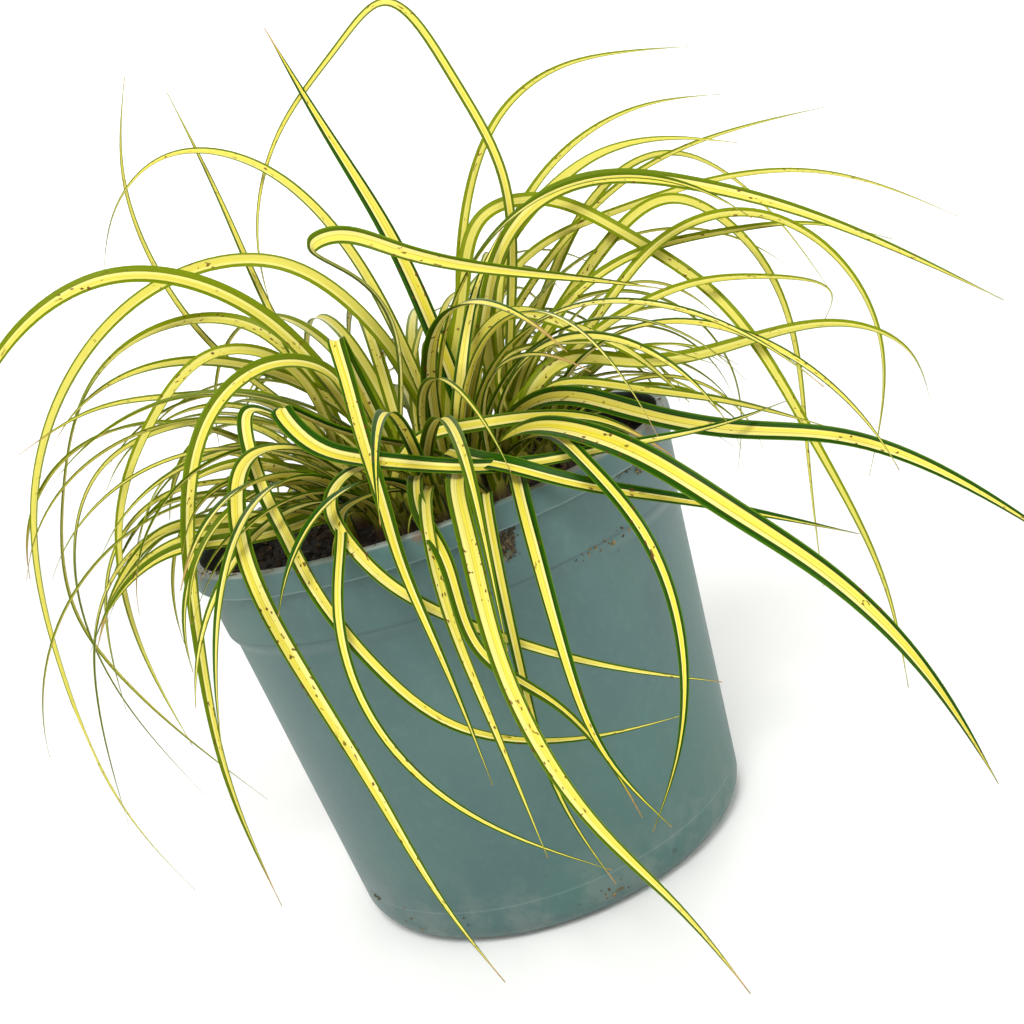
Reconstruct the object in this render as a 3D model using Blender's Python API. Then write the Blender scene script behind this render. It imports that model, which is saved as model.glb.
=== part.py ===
# A potted sedge: a tuft of arching, yellow-striped blades in a round plastic nursery pot.
# The sizes below are millimetres and MM turns them into Blender's metres. The origin is the
# middle of the pot's underside, +Z is up, and -Y is the side that faces the viewer.

import math

import bmesh
import bpy
import numpy as np

MM = 0.001
SEED = 11

# Pot, as radii and heights of its turned wall
POT_SIDES = 40
POT_HEIGHT = 115.0
LIP_RADIUS = 70.0
LIP_DEPTH = 6.4
BAND_RADIUS = 68.2
SHOULDER_RADIUS = 67.0
SHOULDER_HEIGHT = 94.5
BODY_TOP_RADIUS = 65.3
BODY_TOP_HEIGHT = 90.5
BASE_RADIUS = 58.2
BASE_ROUND = 8.0
WALL = 1.5
FLOOR = 2.4
RECESS_HEIGHT = 1.2
RECESS_RADII = (26.0, 47.0)
DRAIN_HOLES = 8
DRAIN_RADIUS = 3.5
DRAIN_CIRCLE = 36.0

# Soil, with a plain hole for the foot of each tiller
SOIL_GAP = 0.35
SOIL_EDGE_HEIGHT = 105.0
SOIL_MIDDLE_HEIGHT = 107.0
HOLE_BOTTOM = 92.0
HOLE_CLEARANCE = 0.35

# Tillers: the sheathed shoots that the blades grow from
TILLERS = 38
CROWN_RADIUS = 34.0
CROWN_MIDDLE = (1.0, 0.0)
SHEATH_SIDES = 6
SHEATH_BOTTOM = 92.4
SHEATH_TOP = 115.0
SHEATH_RADII = (3.1, 2.3)
START_DEPTH = 7.0
START_OFFSET = 0.6
MOST_BLADES = 6

# Blades: a flat upper face over a keel
KEEL_DEPTH = 1.0
TIP_KEEL_DEPTH = 0.62
TIP_WIDTH = 0.7
TAPER_POWER = 2.8
BEND_WEIGHT = 34.0
RING_SHARE = 21.0
RING_RANGE = (7, 17)
GROWN_BLADES = 125
WIDEST_REACH = 135.0
CLEARANCE_CELL = 1.0
CELL_RANGE = ((-215, 215), (-215, 215), (0, 270))
TRACED_REACH = 400.0
GROWN_REACH = 16.0
NEAR_TILLERS = 6
LOWEST_BLADE = 4.0
TRIES = 120
YOUNGEST = 0.55
WIDEST_SWAY = 9.0

VIEWER = (0.1, -0.82, 0.56)
SKY = (0.0, -0.35, 0.94)
RIGHT_UP = (0.45, -0.6, 0.66)

# Blades that the photograph shows one by one. Each row holds the foot (x, y), the width, the
# direction that the upper face looks in halfway along, the twist in degrees from foot to tip,
# and the points that the blade passes through.
TRACED = [
    # the broad blades over the right front
    ((6, -20), 6.0, VIEWER, -20,
     [(-20, -26, 141), (-28, -28, 149), (-25, -36, 142), (-15, -46, 134), (-2, -54, 129),
      (20, -62, 122), (46, -64, 118), (70, -60, 114), (91, -51, 112)]),
    ((-2, -22), 4.6, VIEWER, 20,
     [(0, -28, 128), (16, -34, 129), (34, -38, 126), (48, -45, 121), (60, -54, 109)]),
    ((18, -22), 6.5, VIEWER, 15,
     [(28, -38, 123), (40, -52, 121), (53, -64, 112), (68, -76, 95), (80, -84, 80), (92, -90, 58),
      (103, -93, 21)]),
    ((16, -28), 5.2, VIEWER, -10,
     [(20, -52, 120), (28, -66, 118), (42, -74, 110), (60, -77, 101), (92, -78, 83)]),
    ((20, -16), 6.2, VIEWER, 10,
     [(36, -27, 129), (54, -38, 122), (78, -53, 110), (98, -64, 103), (119, -77, 86), (136, -88, 64)]),
    ((24, -14), 4.6, SKY, 25,
     [(38, -21, 130), (56, -30, 125), (78, -40, 115), (98, -50, 103)]),
    ((26, -8), 5.8, RIGHT_UP, -20,
     [(46, -9, 134), (60, -10, 129), (78, -11, 124), (100, -13, 123), (121, -16, 119), (135, -17, 106),
      (137, -16, 92)]),
    # the long front blade, and those that hang over the front of the rim
    ((12, -22), 5.2, VIEWER, 25,
     [(11, -44, 123), (9, -64, 122), (8, -84, 113), (7, -110, 91), (15, -129, 61), (24, -136, 45),
      (32, -138, 23)]),
    ((-8, -24), 4.8, VIEWER, -20,
     [(-37, -40, 141), (-42, -54, 133), (-42, -68, 120), (-37, -84, 102), (-28, -100, 73), (-20, -112, 44),
      (-14, -118, 30)]),
    ((-6, -16), 4.6, VIEWER, 10,
     [(-8, -20, 150), (-9, -26, 161), (-9, -32, 154), (-9, -44, 142), (-8, -70, 123), (-7, -88, 112),
      (-5, -98, 94), (-4, -100, 64)]),
    ((-14, -20), 4.1, VIEWER, 20,
     [(-27, -23, 145), (-34, -29, 152), (-36, -38, 141), (-31, -60, 124), (-26, -78, 112), (-18, -88, 94),
      (-7, -91, 77), (11, -91, 66), (42, -82, 57)]),
    ((-2, -28), 3.8, VIEWER, 15,
     [(-12, -44, 130), (-20, -58, 126), (-18, -67, 119), (-10, -78, 107), (2, -84, 96), (24, -86, 79),
      (52, -78, 60)]),
    ((4, -28), 4.1, VIEWER, -15,
     [(0, -52, 125), (-1, -68, 120), (2, -86, 110), (3, -96, 92), (13, -99, 79), (24, -103, 47)]),
    ((20, -26), 4.4, VIEWER, 30,
     [(24, -46, 121), (25, -66, 119), (24, -84, 109), (22, -99, 88), (22, -106, 68), (29, -111, 47)]),
    ((22, -24), 4.0, VIEWER, -25,
     [(24, -46, 126), (26, -68, 123), (31, -86, 108), (33, -99, 82), (30, -103, 60), (25, -103, 43)]),
    ((0, -30), 3.4, VIEWER, 10,
     [(2, -50, 121), (1, -68, 121), (-1, -92, 101), (0, -99, 83), (2, -104, 46)]),
    ((8, -30), 3.4, VIEWER, -10,
     [(13, -56, 115), (13, -68, 118), (11, -80, 109), (8, -94, 84), (8, -102, 56), (14, -106, 36)]),
    ((-14, -28), 2.9, VIEWER, 10,
     [(-16, -50, 123), (-17, -66, 121), (-21, -84, 108), (-21, -96, 86), (-12, -100, 64), (14, -98, 35)]),
    # arches over the right
    ((14, -2), 5.3, VIEWER, 15,
     [(28, -4, 149), (38, -6, 166), (50, -8, 175), (66, -11, 177), (88, -16, 169), (112, -21, 154),
      (157, -30, 114)]),
    ((22, -2), 4.7, VIEWER, -25,
     [(34, -2, 157), (42, 0, 167), (56, 2, 176), (72, 4, 182), (92, 7, 181), (112, 9, 173)]),
    ((10, 8), 4.7, VIEWER, 20,
     [(26, 10, 158), (40, 13, 178), (56, 13, 177), (74, 8, 162), (92, -3, 138), (103, -20, 94),
      (107, -34, 50), (104, -38, 24)]),
    ((20, 14), 3.4, VIEWER, 20,
     [(42, 28, 142), (60, 38, 160), (82, 50, 175), (102, 60, 177), (125, 72, 160), (150, 86, 110)]),
    ((22, 6), 4.0, VIEWER, -15,
     [(42, 8, 140), (64, 10, 158), (88, 12, 167), (103, 13, 154), (112, 14, 124), (108, 14, 88),
      (101, 13, 40)]),
    ((28, 0), 3.6, VIEWER, 20,
     [(44, 3, 131), (64, 4, 143), (84, 4, 155), (108, 4, 156), (128, 4, 140), (136, 4, 110), (121, 4, 71)]),
    ((24, 14), 3.6, SKY, 15,
     [(48, 26, 144), (70, 33, 144), (90, 40, 131), (100, 44, 104), (90, 42, 72)]),
    ((22, 2), 3.4, VIEWER, -10,
     [(46, 3, 142), (74, 4, 153), (102, 5, 151), (124, 6, 146), (146, 7, 134)]),
    ((26, -4), 3.4, VIEWER, 15,
     [(44, -4, 133), (60, -5, 139), (85, -6, 142), (106, -8, 137), (121, -9, 126), (117, -9, 121)]),
    ((16, -8), 4.5, VIEWER, 20,
     [(26, -10, 147), (34, -12, 151), (48, -18, 144), (60, -22, 134), (72, -27, 115)]),
    ((20, -6), 3.4, SKY, 0, [(30, -6, 140), (48, -9, 139), (68, -13, 131), (84, -16, 120)]),
    ((18, 12), 2.9, VIEWER, 10,
     [(44, 16, 161), (76, 24, 166), (109, 33, 165), (141, 41, 157), (185, 53, 128)]),
    ((18, 18), 3.1, VIEWER, 10,
     [(36, 28, 182), (54, 37, 203), (76, 48, 211), (98, 59, 210), (122, 74, 206)]),
    ((24, 8), 3.1, VIEWER, -10, [(44, 20, 172), (66, 29, 187), (94, 39, 192), (121, 48, 188)]),
    ((22, 18), 2.7, VIEWER, 5, [(56, 33, 160), (84, 44, 173), (118, 58, 177), (160, 74, 174)]),
    # upright blades
    ((14, 2), 5.5, VIEWER, 15, [(15, 3, 146), (12, 4, 180), (5, 4, 212), (-1, 5, 241)]),
    ((8, -10), 4.3, VIEWER, 0, [(14, -22, 131), (22, -16, 148), (32, -10, 163), (41, -6, 172)]),
    ((30, -4), 3.4, VIEWER, -15,
     [(45, -4, 184), (40, -2, 214), (29, 1, 236), (17, 4, 231), (-10, 12, 213), (-24, 15, 190),
      (-27, 16, 165)]),
    ((-18, 14), 2.7, VIEWER, 10, [(-28, 18, 172), (-30, 19, 204), (-33, 19, 236)]),
    ((-20, 20), 2.2, VIEWER, 0, [(-46, 30, 162), (-56, 34, 190), (-55, 33, 222), (-44, 29, 245)]),
    # arches over the left
    ((-10, -2), 6.2, VIEWER, -20,
     [(-18, -4, 153), (-26, -6, 170), (-40, -9, 185), (-58, -13, 193), (-80, -17, 190), (-100, -21, 176),
      (-118, -25, 150)]),
    ((2, 8), 4.0, VIEWER, 20,
     [(-3, 9, 163), (-18, 11, 182), (-44, 15, 189), (-80, 20, 178), (-112, 24, 144), (-127, 26, 88),
      (-125, 26, 34), (-116, 25, 8)]),
    ((-16, 12), 4.7, SKY, 25,
     [(-34, 20, 169), (-60, 29, 177), (-90, 39, 167), (-111, 45, 140), (-124, 49, 100), (-116, 47, 71),
      (-87, 38, 24)]),
    ((-18, 0), 3.6, VIEWER, -15,
     [(-28, 1, 159), (-42, 0, 166), (-64, -2, 156), (-83, -3, 134), (-92, -3, 104), (-90, -3, 63)]),
    ((-24, 6), 3.6, SKY, 10,
     [(-42, 7, 143), (-62, 8, 150), (-86, 8, 146), (-104, 9, 124), (-108, 9, 84), (-96, 8, 44)]),
    ((-20, 4), 2.9, VIEWER, 10, [(-34, 4, 149), (-54, 3, 157), (-80, 2, 162), (-104, 1, 157)]),
    ((-12, -8), 4.8, VIEWER, 15,
     [(-15, -10, 152), (-26, -16, 159), (-44, -25, 154), (-58, -33, 133), (-67, -37, 102), (-73, -41, 66),
      (-73, -41, 25)]),
    ((-30, -8), 4.0, SKY, 20,
     [(-52, -10, 121), (-70, -10, 126), (-86, -10, 121), (-100, -10, 106), (-108, -12, 82),
      (-112, -14, 50)]),
    ((-30, 2), 3.4, SKY, -20,
     [(-50, 2, 130), (-72, 0, 133), (-88, 0, 125), (-98, 0, 110), (-104, -2, 78)]),
    ((0, 12), 3.4, VIEWER, 20,
     [(3, 9, 183), (-10, 12, 207), (-38, 20, 220), (-60, 26, 210), (-71, 28, 194)]),
    ((-6, -12), 5.3, VIEWER, 10,
     [(-2, -15, 176), (-8, -18, 184), (-4, -20, 185), (12, -26, 177), (36, -29, 163), (62, -24, 151),
      (76, -19, 144)]),
    # the low bundle over the left rim
    ((-24, 4), 4.6, VIEWER, 10,
     [(-29, -8, 122), (-39, 0, 127), (-49, 6, 131), (-61, 10, 132), (-76, 12, 129), (-89, 12, 124)]),
    ((-26, -6), 4.2, SKY, 10,
     [(-35, -12, 121), (-53, -6, 127), (-63, -4, 129), (-74, -2, 129), (-84, -2, 124), (-95, -2, 114)]),
    ((-28, -12), 4.8, VIEWER, -10,
     [(-38, -18, 119), (-51, -14, 123), (-62, -12, 125), (-71, -12, 126), (-81, -12, 122), (-92, -12, 113),
      (-101, -12, 101)]),
    ((-22, -18), 4.8, SKY, 15,
     [(-38, -24, 118), (-51, -21, 121), (-61, -19, 123), (-71, -18, 123), (-81, -18, 120), (-90, -18, 114),
      (-101, -18, 102)]),
    ((-16, -22), 4.6, VIEWER, 10,
     [(-35, -26, 118), (-48, -28, 119), (-59, -27, 121), (-70, -26, 122), (-81, -26, 119), (-93, -26, 110)]),
]


def smooth_curve(points, count):
    # Natural cubic through the points, timed by the distance between them: the slopes solve the
    # equations that make each piece start with the slope and bend that the last one ends with.
    points = np.asarray(points, float)
    gap = np.linalg.norm(np.diff(points, axis=0), axis=1)
    time = np.concatenate([[0], np.cumsum(gap)])
    last = len(points) - 1
    rule = np.zeros((last + 1, last + 1))
    want = np.zeros((last + 1, 3))
    step = np.diff(points, axis=0) / gap[:, None]
    rule[0, :2] = 2, 1
    want[0] = 3 * step[0]
    rule[last, last - 1:] = 1, 2
    want[last] = 3 * step[-1]
    for i in range(1, last):
        rule[i, i - 1:i + 2] = gap[i], 2 * (gap[i - 1] + gap[i]), gap[i - 1]
        want[i] = 3 * (gap[i] * step[i - 1] + gap[i - 1] * step[i])
    slope = np.linalg.solve(rule, want)
    at = np.linspace(0, time[-1], count)
    piece = np.clip(np.searchsorted(time, at, "right") - 1, 0, last - 1)
    wide = gap[piece][:, None]
    u = ((at - time[piece])[:, None]) / wide
    return (
        points[piece] * (1 + 2 * u) * (1 - u) ** 2
        + points[piece + 1] * u**2 * (3 - 2 * u)
        + wide * slope[piece] * u * (1 - u) ** 2
        - wide * slope[piece + 1] * u**2 * (1 - u)
    )


def unit(vectors):
    return vectors / np.linalg.norm(vectors, axis=-1, keepdims=True)


def spread_rings(path):
    # Rings stand close where the path bends: they share out length plus a weight times the turn.
    step = np.diff(path, axis=0)
    length = np.linalg.norm(step, axis=1)
    turn = np.zeros(len(length))
    turn[1:] = np.arccos(np.clip((unit(step)[1:] * unit(step)[:-1]).sum(axis=1), -1, 1))
    share = np.concatenate([[0], np.cumsum(length + BEND_WEIGHT * turn)])
    rings = int(np.clip(round(share[-1] / RING_SHARE), *RING_RANGE))
    at = np.interp(np.linspace(0, share[-1], rings), share, np.arange(len(path)))
    along = np.stack([np.interp(at, np.arange(len(path)), path[:, k]) for k in range(3)], axis=1)
    place = np.concatenate([[0], np.cumsum(length)]) / length.sum()
    return along, np.interp(at, np.arange(len(path)), place)


def carried_normals(path, face, twist):
    # The face's direction is set halfway and carried both ways with the least turning, by
    # projecting it on each next cross plane. The twist is then added evenly from end to end.
    tangent = unit(np.gradient(path, axis=0))
    normal = np.zeros_like(path)
    middle = len(path) // 2
    normal[middle] = np.asarray(face, float)
    for order in (range(middle, len(path)), range(middle, -1, -1)):
        held = normal[middle]
        for i in order:
            held = unit(held - (held @ tangent[i]) * tangent[i])
            normal[i] = held
    angle = np.radians(twist) * (np.linspace(0, 1, len(path)) - 0.5)[:, None]
    return normal * np.cos(angle) + np.cross(tangent, normal) * np.sin(angle), tangent


def blade_corners(path, place, width, face, twist):
    # Three lines of corners: the two edges of the upper face, and the keel below its middle.
    normal, tangent = carried_normals(path, face, twist)
    across = np.cross(tangent, normal)
    grown = np.clip(place / 0.22, 0, 1)
    half = width / 2 * (0.5 + 0.5 * grown * (2 - grown)) * (1 - place**TAPER_POWER)
    half = np.maximum(half, TIP_WIDTH / 2)[:, None]
    keel = (TIP_KEEL_DEPTH + (KEEL_DEPTH - TIP_KEEL_DEPTH) * (1 - place))[:, None]
    return np.stack([path + across * half, path - across * half, path - normal * keel], axis=1)


def tiller_feet():
    # A sunflower spiral spreads the tillers evenly over the round crown.
    index = np.arange(TILLERS)
    radius = CROWN_RADIUS * np.sqrt((index + 0.5) / TILLERS)
    angle = index * math.pi * (3 - math.sqrt(5))
    return np.column_stack([radius * np.cos(angle), radius * np.sin(angle)]) + CROWN_MIDDLE


class Room:
    # Remembers which blade holds each small cell of air, so that no blade crosses another.
    # Blades of one tiller may share the cells within a reach of their foot, where they join.
    NOBODY = 0
    SHARED = 255

    def __init__(self):
        self.low = np.array([side[0] for side in CELL_RANGE])
        high = np.array([side[1] for side in CELL_RANGE])
        self.held = np.zeros((high - self.low) // int(CLEARANCE_CELL), np.uint8)
        self.tiller_of = np.full(256, -1)
        self.count = 0

    def cells(self, points):
        cells = ((points - self.low) / CLEARANCE_CELL).astype(int)
        return np.clip(cells, 1, np.array(self.held.shape) - 2)

    def samples(self, corners):
        # Points a cell apart on the blade's faces, between its rings as well as on them.
        left, right, keel = corners[:, 0], corners[:, 1], corners[:, 2]
        weights = ((1, 0, 0), (0.75, 0.25, 0), (0.5, 0.5, 0), (0.25, 0.75, 0), (0, 1, 0), (0, 0, 1))
        lines = np.stack([a * left + b * right + c * keel for a, b, c in weights], axis=1)
        length = np.linalg.norm(np.diff(lines[:, 2], axis=0), axis=1)
        place = np.concatenate([[0], np.cumsum(length)])
        at = np.arange(0, place[-1], 0.9 * CLEARANCE_CELL)
        flat = lines.reshape(len(lines), -1)
        fine = np.stack([np.interp(at, place, flat[:, k]) for k in range(flat.shape[1])], axis=1)
        return fine.reshape(-1, 3)

    def is_free(self, corners, tiller, foot, joined_reach):
        points = self.samples(corners)
        reach = np.hypot(points[:, 0], points[:, 1])
        from_foot = np.linalg.norm(points - (foot[0], foot[1], SHEATH_TOP), axis=1)
        past_sheath = np.hypot(*(points[:, :2] - foot).T) > SHEATH_RADII[0] + 1.5
        over_soil = (reach < LIP_RADIUS - 5) & (points[:, 2] > SOIL_MIDDLE_HEIGHT + 0.8)
        outside = (reach > LIP_RADIUS + 1.2) | (points[:, 2] > POT_HEIGHT + 1.2)
        if not (over_soil | outside)[past_sheath].all() or points[:, 2].min() < LOWEST_BLADE:
            return False
        x, y, z = self.cells(points).T
        held = self.held[x, y, z]
        own = (self.tiller_of[held] == tiller) & (from_foot < joined_reach)
        return bool(((held == self.NOBODY) | own).all())

    def take(self, corners, tiller):
        self.count += 1
        self.tiller_of[self.count] = tiller
        cells = np.unique(self.cells(self.samples(corners)), axis=0)
        near = np.stack(np.meshgrid(*[(-1, 0, 1)] * 3, indexing="ij"), axis=-1).reshape(-1, 3)
        x, y, z = np.unique((cells[:, None] + near).reshape(-1, 3), axis=0).T
        held = self.held[x, y, z]
        mine = (held == self.NOBODY) | (self.tiller_of[held] == tiller)
        self.held[x, y, z] = np.where(mine, self.count, self.SHARED)


def sheath_corners(foot):
    # Three of the sheath's side lines, as a blade's corners, so that Room can hold its space.
    angle = np.arange(3) * 2 * math.pi / 3
    ends = []
    for radius, height in zip(SHEATH_RADII, (SHEATH_BOTTOM, SHEATH_TOP)):
        ring = np.column_stack([foot[0] + radius * np.cos(angle), foot[1] + radius * np.sin(angle)])
        ends.append(np.column_stack([ring, np.full(3, height)]))
    return np.stack(ends, axis=0)


def blade_start(foot, number):
    # Inside the sheath, a little lower and to another side of its axis for each blade.
    angle = 2.4 * number + foot[0]
    side = (START_OFFSET * math.cos(angle), START_OFFSET * math.sin(angle))
    return np.array([foot[0] + side[0], foot[1] + side[1], SHEATH_TOP - START_DEPTH - 0.4 * number])


def traced_blade(start, width, face, twist, points, sway):
    # A soft push, strongest halfway, moves the drawn path clear of its neighbours.
    stem = [start, start + (0, 0, START_DEPTH)]
    path = smooth_curve(stem + list(points), 160)
    path = path + np.sin(np.linspace(0, math.pi, len(path)))[:, None] * sway
    path, place = spread_rings(path)
    return blade_corners(path, place, width, face, twist)


def grown_blade(foot, start, growth, draw):
    # The elevation falls from steep to hanging along the length, and the heading swings a
    # little: the sum of the small steps that way is the path. A growth of 1 is full size.
    outward = math.atan2(foot[1] - CROWN_MIDDLE[1], foot[0] - CROWN_MIDDLE[0])
    rim = math.hypot(foot[0] - CROWN_MIDDLE[0], foot[1] - CROWN_MIDDLE[1]) / CROWN_RADIUS
    heading = outward + draw.normal(0, 0.35 + 0.9 * (1 - rim))
    length = draw.uniform(95, 190) * growth
    steep = math.radians(draw.uniform(74, 88) - 18 * rim * draw.uniform(0, 1))
    hang = math.radians(draw.uniform(-89, -35))
    swing = draw.normal(0, 0.3)
    along = np.linspace(0, 1, 120)
    climb = steep + (hang - steep) * along ** draw.uniform(0.75, 1.25)
    turn = heading + swing * along
    flat = np.column_stack([np.cos(turn), np.sin(turn)]) * np.cos(climb)[:, None]
    step = np.column_stack([flat, np.sin(climb)])
    path = np.cumsum(step, axis=0) * length / len(along)
    path = path - path[0] + start
    face = unit(np.array([math.cos(heading), math.sin(heading), 1.4]) + draw.normal(0, 0.35, 3))
    width = draw.uniform(2.9, 5.6) * math.sqrt(growth)
    twist = draw.uniform(-70, 70)
    path, place = spread_rings(path)
    return blade_corners(path, place, width, face, twist)


def place_traced(root, width, face, twist, points, feet, blades, room, draw):
    # Tries the nearest tillers in turn, each with wider and wider pushes off the drawn path.
    near = np.argsort(np.hypot(*(feet - root).T), kind="stable")
    near = [int(tiller) for tiller in near if len(blades[tiller]) < MOST_BLADES][:NEAR_TILLERS]
    for attempt in range(TRIES):
        sway = draw.normal(0, 1, 3) * WIDEST_SWAY * attempt / TRIES
        for tiller in near[:1 + attempt // 12]:
            start = blade_start(feet[tiller], len(blades[tiller]))
            corners = traced_blade(start, width, face, twist, points, sway)
            if room.is_free(corners, tiller, feet[tiller], TRACED_REACH):
                room.take(corners, tiller)
                blades[tiller].append(corners)
                return True
    return False


def place_grown(tiller, foot, blades, room, draw):
    # A blade that keeps finding no room is tried younger and younger.
    start = blade_start(foot, len(blades[tiller]))
    for attempt in range(TRIES):
        corners = grown_blade(foot, start, 1 - YOUNGEST * attempt / TRIES, draw)
        reach = np.hypot(corners[:, 0, 0], corners[:, 0, 1]).max()
        if reach < WIDEST_REACH and room.is_free(corners, tiller, foot, GROWN_REACH):
            room.take(corners, tiller)
            blades[tiller].append(corners)
            return True
    return False


def grow_blades():
    # The feet of the tillers and the corners of each one's blades. A blade that finds no room
    # is left out, and so is a tiller that holds none.
    feet = tiller_feet()
    room = Room()
    blades = [[] for _ in feet]
    for tiller, foot in enumerate(feet):
        room.take(sheath_corners(foot), tiller)
    draw = np.random.default_rng(SEED)
    missed = 0
    for traced in TRACED:
        missed += not place_traced(*traced, feet, blades, room, draw)
    grown = 0
    for turn in range(TILLERS * MOST_BLADES):
        tiller = turn % TILLERS
        if grown < GROWN_BLADES and len(blades[tiller]) <= turn // TILLERS:
            grown += place_grown(tiller, feet[tiller], blades, room, draw)
    print("blades grown by rule:", grown, "and traced blades with no room:", missed)
    leafy = [tiller for tiller in range(TILLERS) if blades[tiller]]
    return feet[leafy], [blades[tiller] for tiller in leafy]


def material(name, colour, roughness, metallic=0.0):
    made = bpy.data.materials.new(name)
    made.use_nodes = True
    shader = made.node_tree.nodes["Principled BSDF"]
    shader.inputs["Base Color"].default_value = (*colour, 1)
    shader.inputs["Roughness"].default_value = roughness
    shader.inputs["Metallic"].default_value = metallic
    return made


def add_mesh(name, points, faces, finish):
    mesh = bpy.data.meshes.new(name)
    mesh.from_pydata([tuple(point) for point in np.asarray(points) * MM], [], faces)
    mesh.update()
    obj = bpy.data.objects.new(name, mesh)
    obj.data.materials.append(finish)
    bpy.context.scene.collection.objects.link(obj)
    return obj


def turned(name, profile, finish):
    # A closed outline of (radius, height) points spun once round the Z axis.
    shape = bmesh.new()
    rim = [shape.verts.new((radius * MM, 0, height * MM)) for radius, height in profile]
    edges = [shape.edges.new((a, b)) for a, b in zip(rim, rim[1:] + rim[:1])]
    bmesh.ops.spin(
        shape, geom=rim + edges, axis=(0, 0, 1), cent=(0, 0, 0), steps=POT_SIDES, angle=2 * math.pi,
        use_merge=True,
    )
    bmesh.ops.remove_doubles(shape, verts=shape.verts, dist=1e-6)
    loose = [edge for edge in shape.edges if not edge.link_faces]
    bmesh.ops.delete(shape, geom=loose, context="EDGES")
    bmesh.ops.recalc_face_normals(shape, faces=shape.faces)
    mesh = bpy.data.meshes.new(name)
    shape.to_mesh(mesh)
    shape.free()
    mesh.shade_smooth()
    mesh.set_sharp_from_angle(angle=math.radians(30))
    obj = bpy.data.objects.new(name, mesh)
    obj.data.materials.append(finish)
    bpy.context.scene.collection.objects.link(obj)
    return obj


def apply_boolean(obj, helpers, operation, solver):
    # One Boolean on a collection of helpers, applied, with the helpers then removed.
    group = bpy.data.collections.new(obj.name + "_helpers")
    bpy.context.scene.collection.children.link(group)
    for helper in helpers:
        bpy.context.scene.collection.objects.unlink(helper)
        group.objects.link(helper)
    cut = obj.modifiers.new(operation.title(), "BOOLEAN")
    cut.operand_type = "COLLECTION"
    cut.collection = group
    cut.operation = operation
    cut.solver = solver
    bpy.context.view_layer.objects.active = obj
    bpy.ops.object.modifier_apply(modifier=cut.name)
    for helper in helpers:
        bpy.data.objects.remove(helper)
    bpy.data.collections.remove(group)


def keep_outer_shell(obj):
    # Fills any hollow that the union sealed, by deleting every shell but the widest one.
    shape = bmesh.new()
    shape.from_mesh(obj.data)
    left = set(shape.verts)
    shells = []
    while left:
        shell, edge_of_search = set(), [left.pop()]
        while edge_of_search:
            vert = edge_of_search.pop()
            shell.add(vert)
            near = {edge.other_vert(vert) for edge in vert.link_edges} & left
            left -= near
            edge_of_search.extend(near)
        shells.append(shell)
    widest = max(shells, key=len)
    inner = [vert for shell in shells if shell is not widest for vert in shell]
    bmesh.ops.delete(shape, geom=inner, context="VERTS")
    shape.to_mesh(obj.data)
    shape.free()


def prism(name, foot, sides, radii, heights, finish):
    # A straight or tapered prism, from its lower ring to its upper one.
    angle = np.arange(sides) * 2 * math.pi / sides
    rings = [
        np.column_stack([foot[0] + r * np.cos(angle), foot[1] + r * np.sin(angle), np.full(sides, z)])
        for r, z in zip(radii, heights)
    ]
    faces = [tuple(range(sides))[::-1], tuple(range(sides, 2 * sides))]
    faces += [(i, (i + 1) % sides, sides + (i + 1) % sides, sides + i) for i in range(sides)]
    return add_mesh(name, np.concatenate(rings), faces, finish)


def wall_outline(inset):
    # The pot's outer side from the shoulder down to the foot, moved inwards by the inset.
    arc = []
    for turn in np.linspace(0, math.pi / 2, 3):
        radius = BASE_RADIUS - BASE_ROUND + BASE_ROUND * math.cos(turn) - inset
        arc.append((radius, BASE_ROUND * (1 - math.sin(turn)) + (FLOOR if inset else 0)))
    return [
        (BAND_RADIUS - inset, POT_HEIGHT - LIP_DEPTH),
        (SHOULDER_RADIUS - inset, SHOULDER_HEIGHT),
        (BODY_TOP_RADIUS - inset, BODY_TOP_HEIGHT),
    ] + arc


def make_pot():
    finish = material("pot_plastic", (0.105, 0.195, 0.215), 0.42)
    edge = 0.7
    lip = [
        (BAND_RADIUS - WALL, POT_HEIGHT),
        (LIP_RADIUS - edge, POT_HEIGHT),
        (LIP_RADIUS, POT_HEIGHT - edge),
        (LIP_RADIUS, POT_HEIGHT - LIP_DEPTH),
    ]
    recess_in, recess_out = RECESS_RADII
    under = [(recess_out, 0), (recess_out, RECESS_HEIGHT), (recess_in, RECESS_HEIGHT), (recess_in, 0)]
    inside = wall_outline(WALL)[::-1]
    pot = turned("pot", lip + wall_outline(0) + under + [(0, 0), (0, FLOOR)] + inside, finish)
    drains = []
    for hole in range(DRAIN_HOLES):
        angle = 2 * math.pi * (hole + 0.5) / DRAIN_HOLES
        foot = (DRAIN_CIRCLE * math.cos(angle), DRAIN_CIRCLE * math.sin(angle))
        drains.append(prism("drain", foot, 8, (DRAIN_RADIUS, DRAIN_RADIUS), (-1, FLOOR + 1), finish))
    apply_boolean(pot, drains, "DIFFERENCE", "EXACT")


def make_soil(feet):
    finish = material("potting_soil", (0.018, 0.013, 0.010), 0.95)
    side = [point for point in wall_outline(WALL + SOIL_GAP) if point[1] < SOIL_EDGE_HEIGHT]
    side = [(radius, height + SOIL_GAP) for radius, height in side]
    mound = [(0, SOIL_MIDDLE_HEIGHT), (CROWN_RADIUS + 6, SOIL_MIDDLE_HEIGHT)]
    mound.append((side[0][0] + 1, SOIL_EDGE_HEIGHT))
    soil = turned("soil", mound + side + [(0, FLOOR + SOIL_GAP)], finish)
    radius = SHEATH_RADII[0] + HOLE_CLEARANCE
    heights = (HOLE_BOTTOM, SOIL_MIDDLE_HEIGHT + 3)
    holes = [prism("hole", foot, SHEATH_SIDES, (radius, radius), heights, finish) for foot in feet]
    apply_boolean(soil, holes, "DIFFERENCE", "EXACT")


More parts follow.
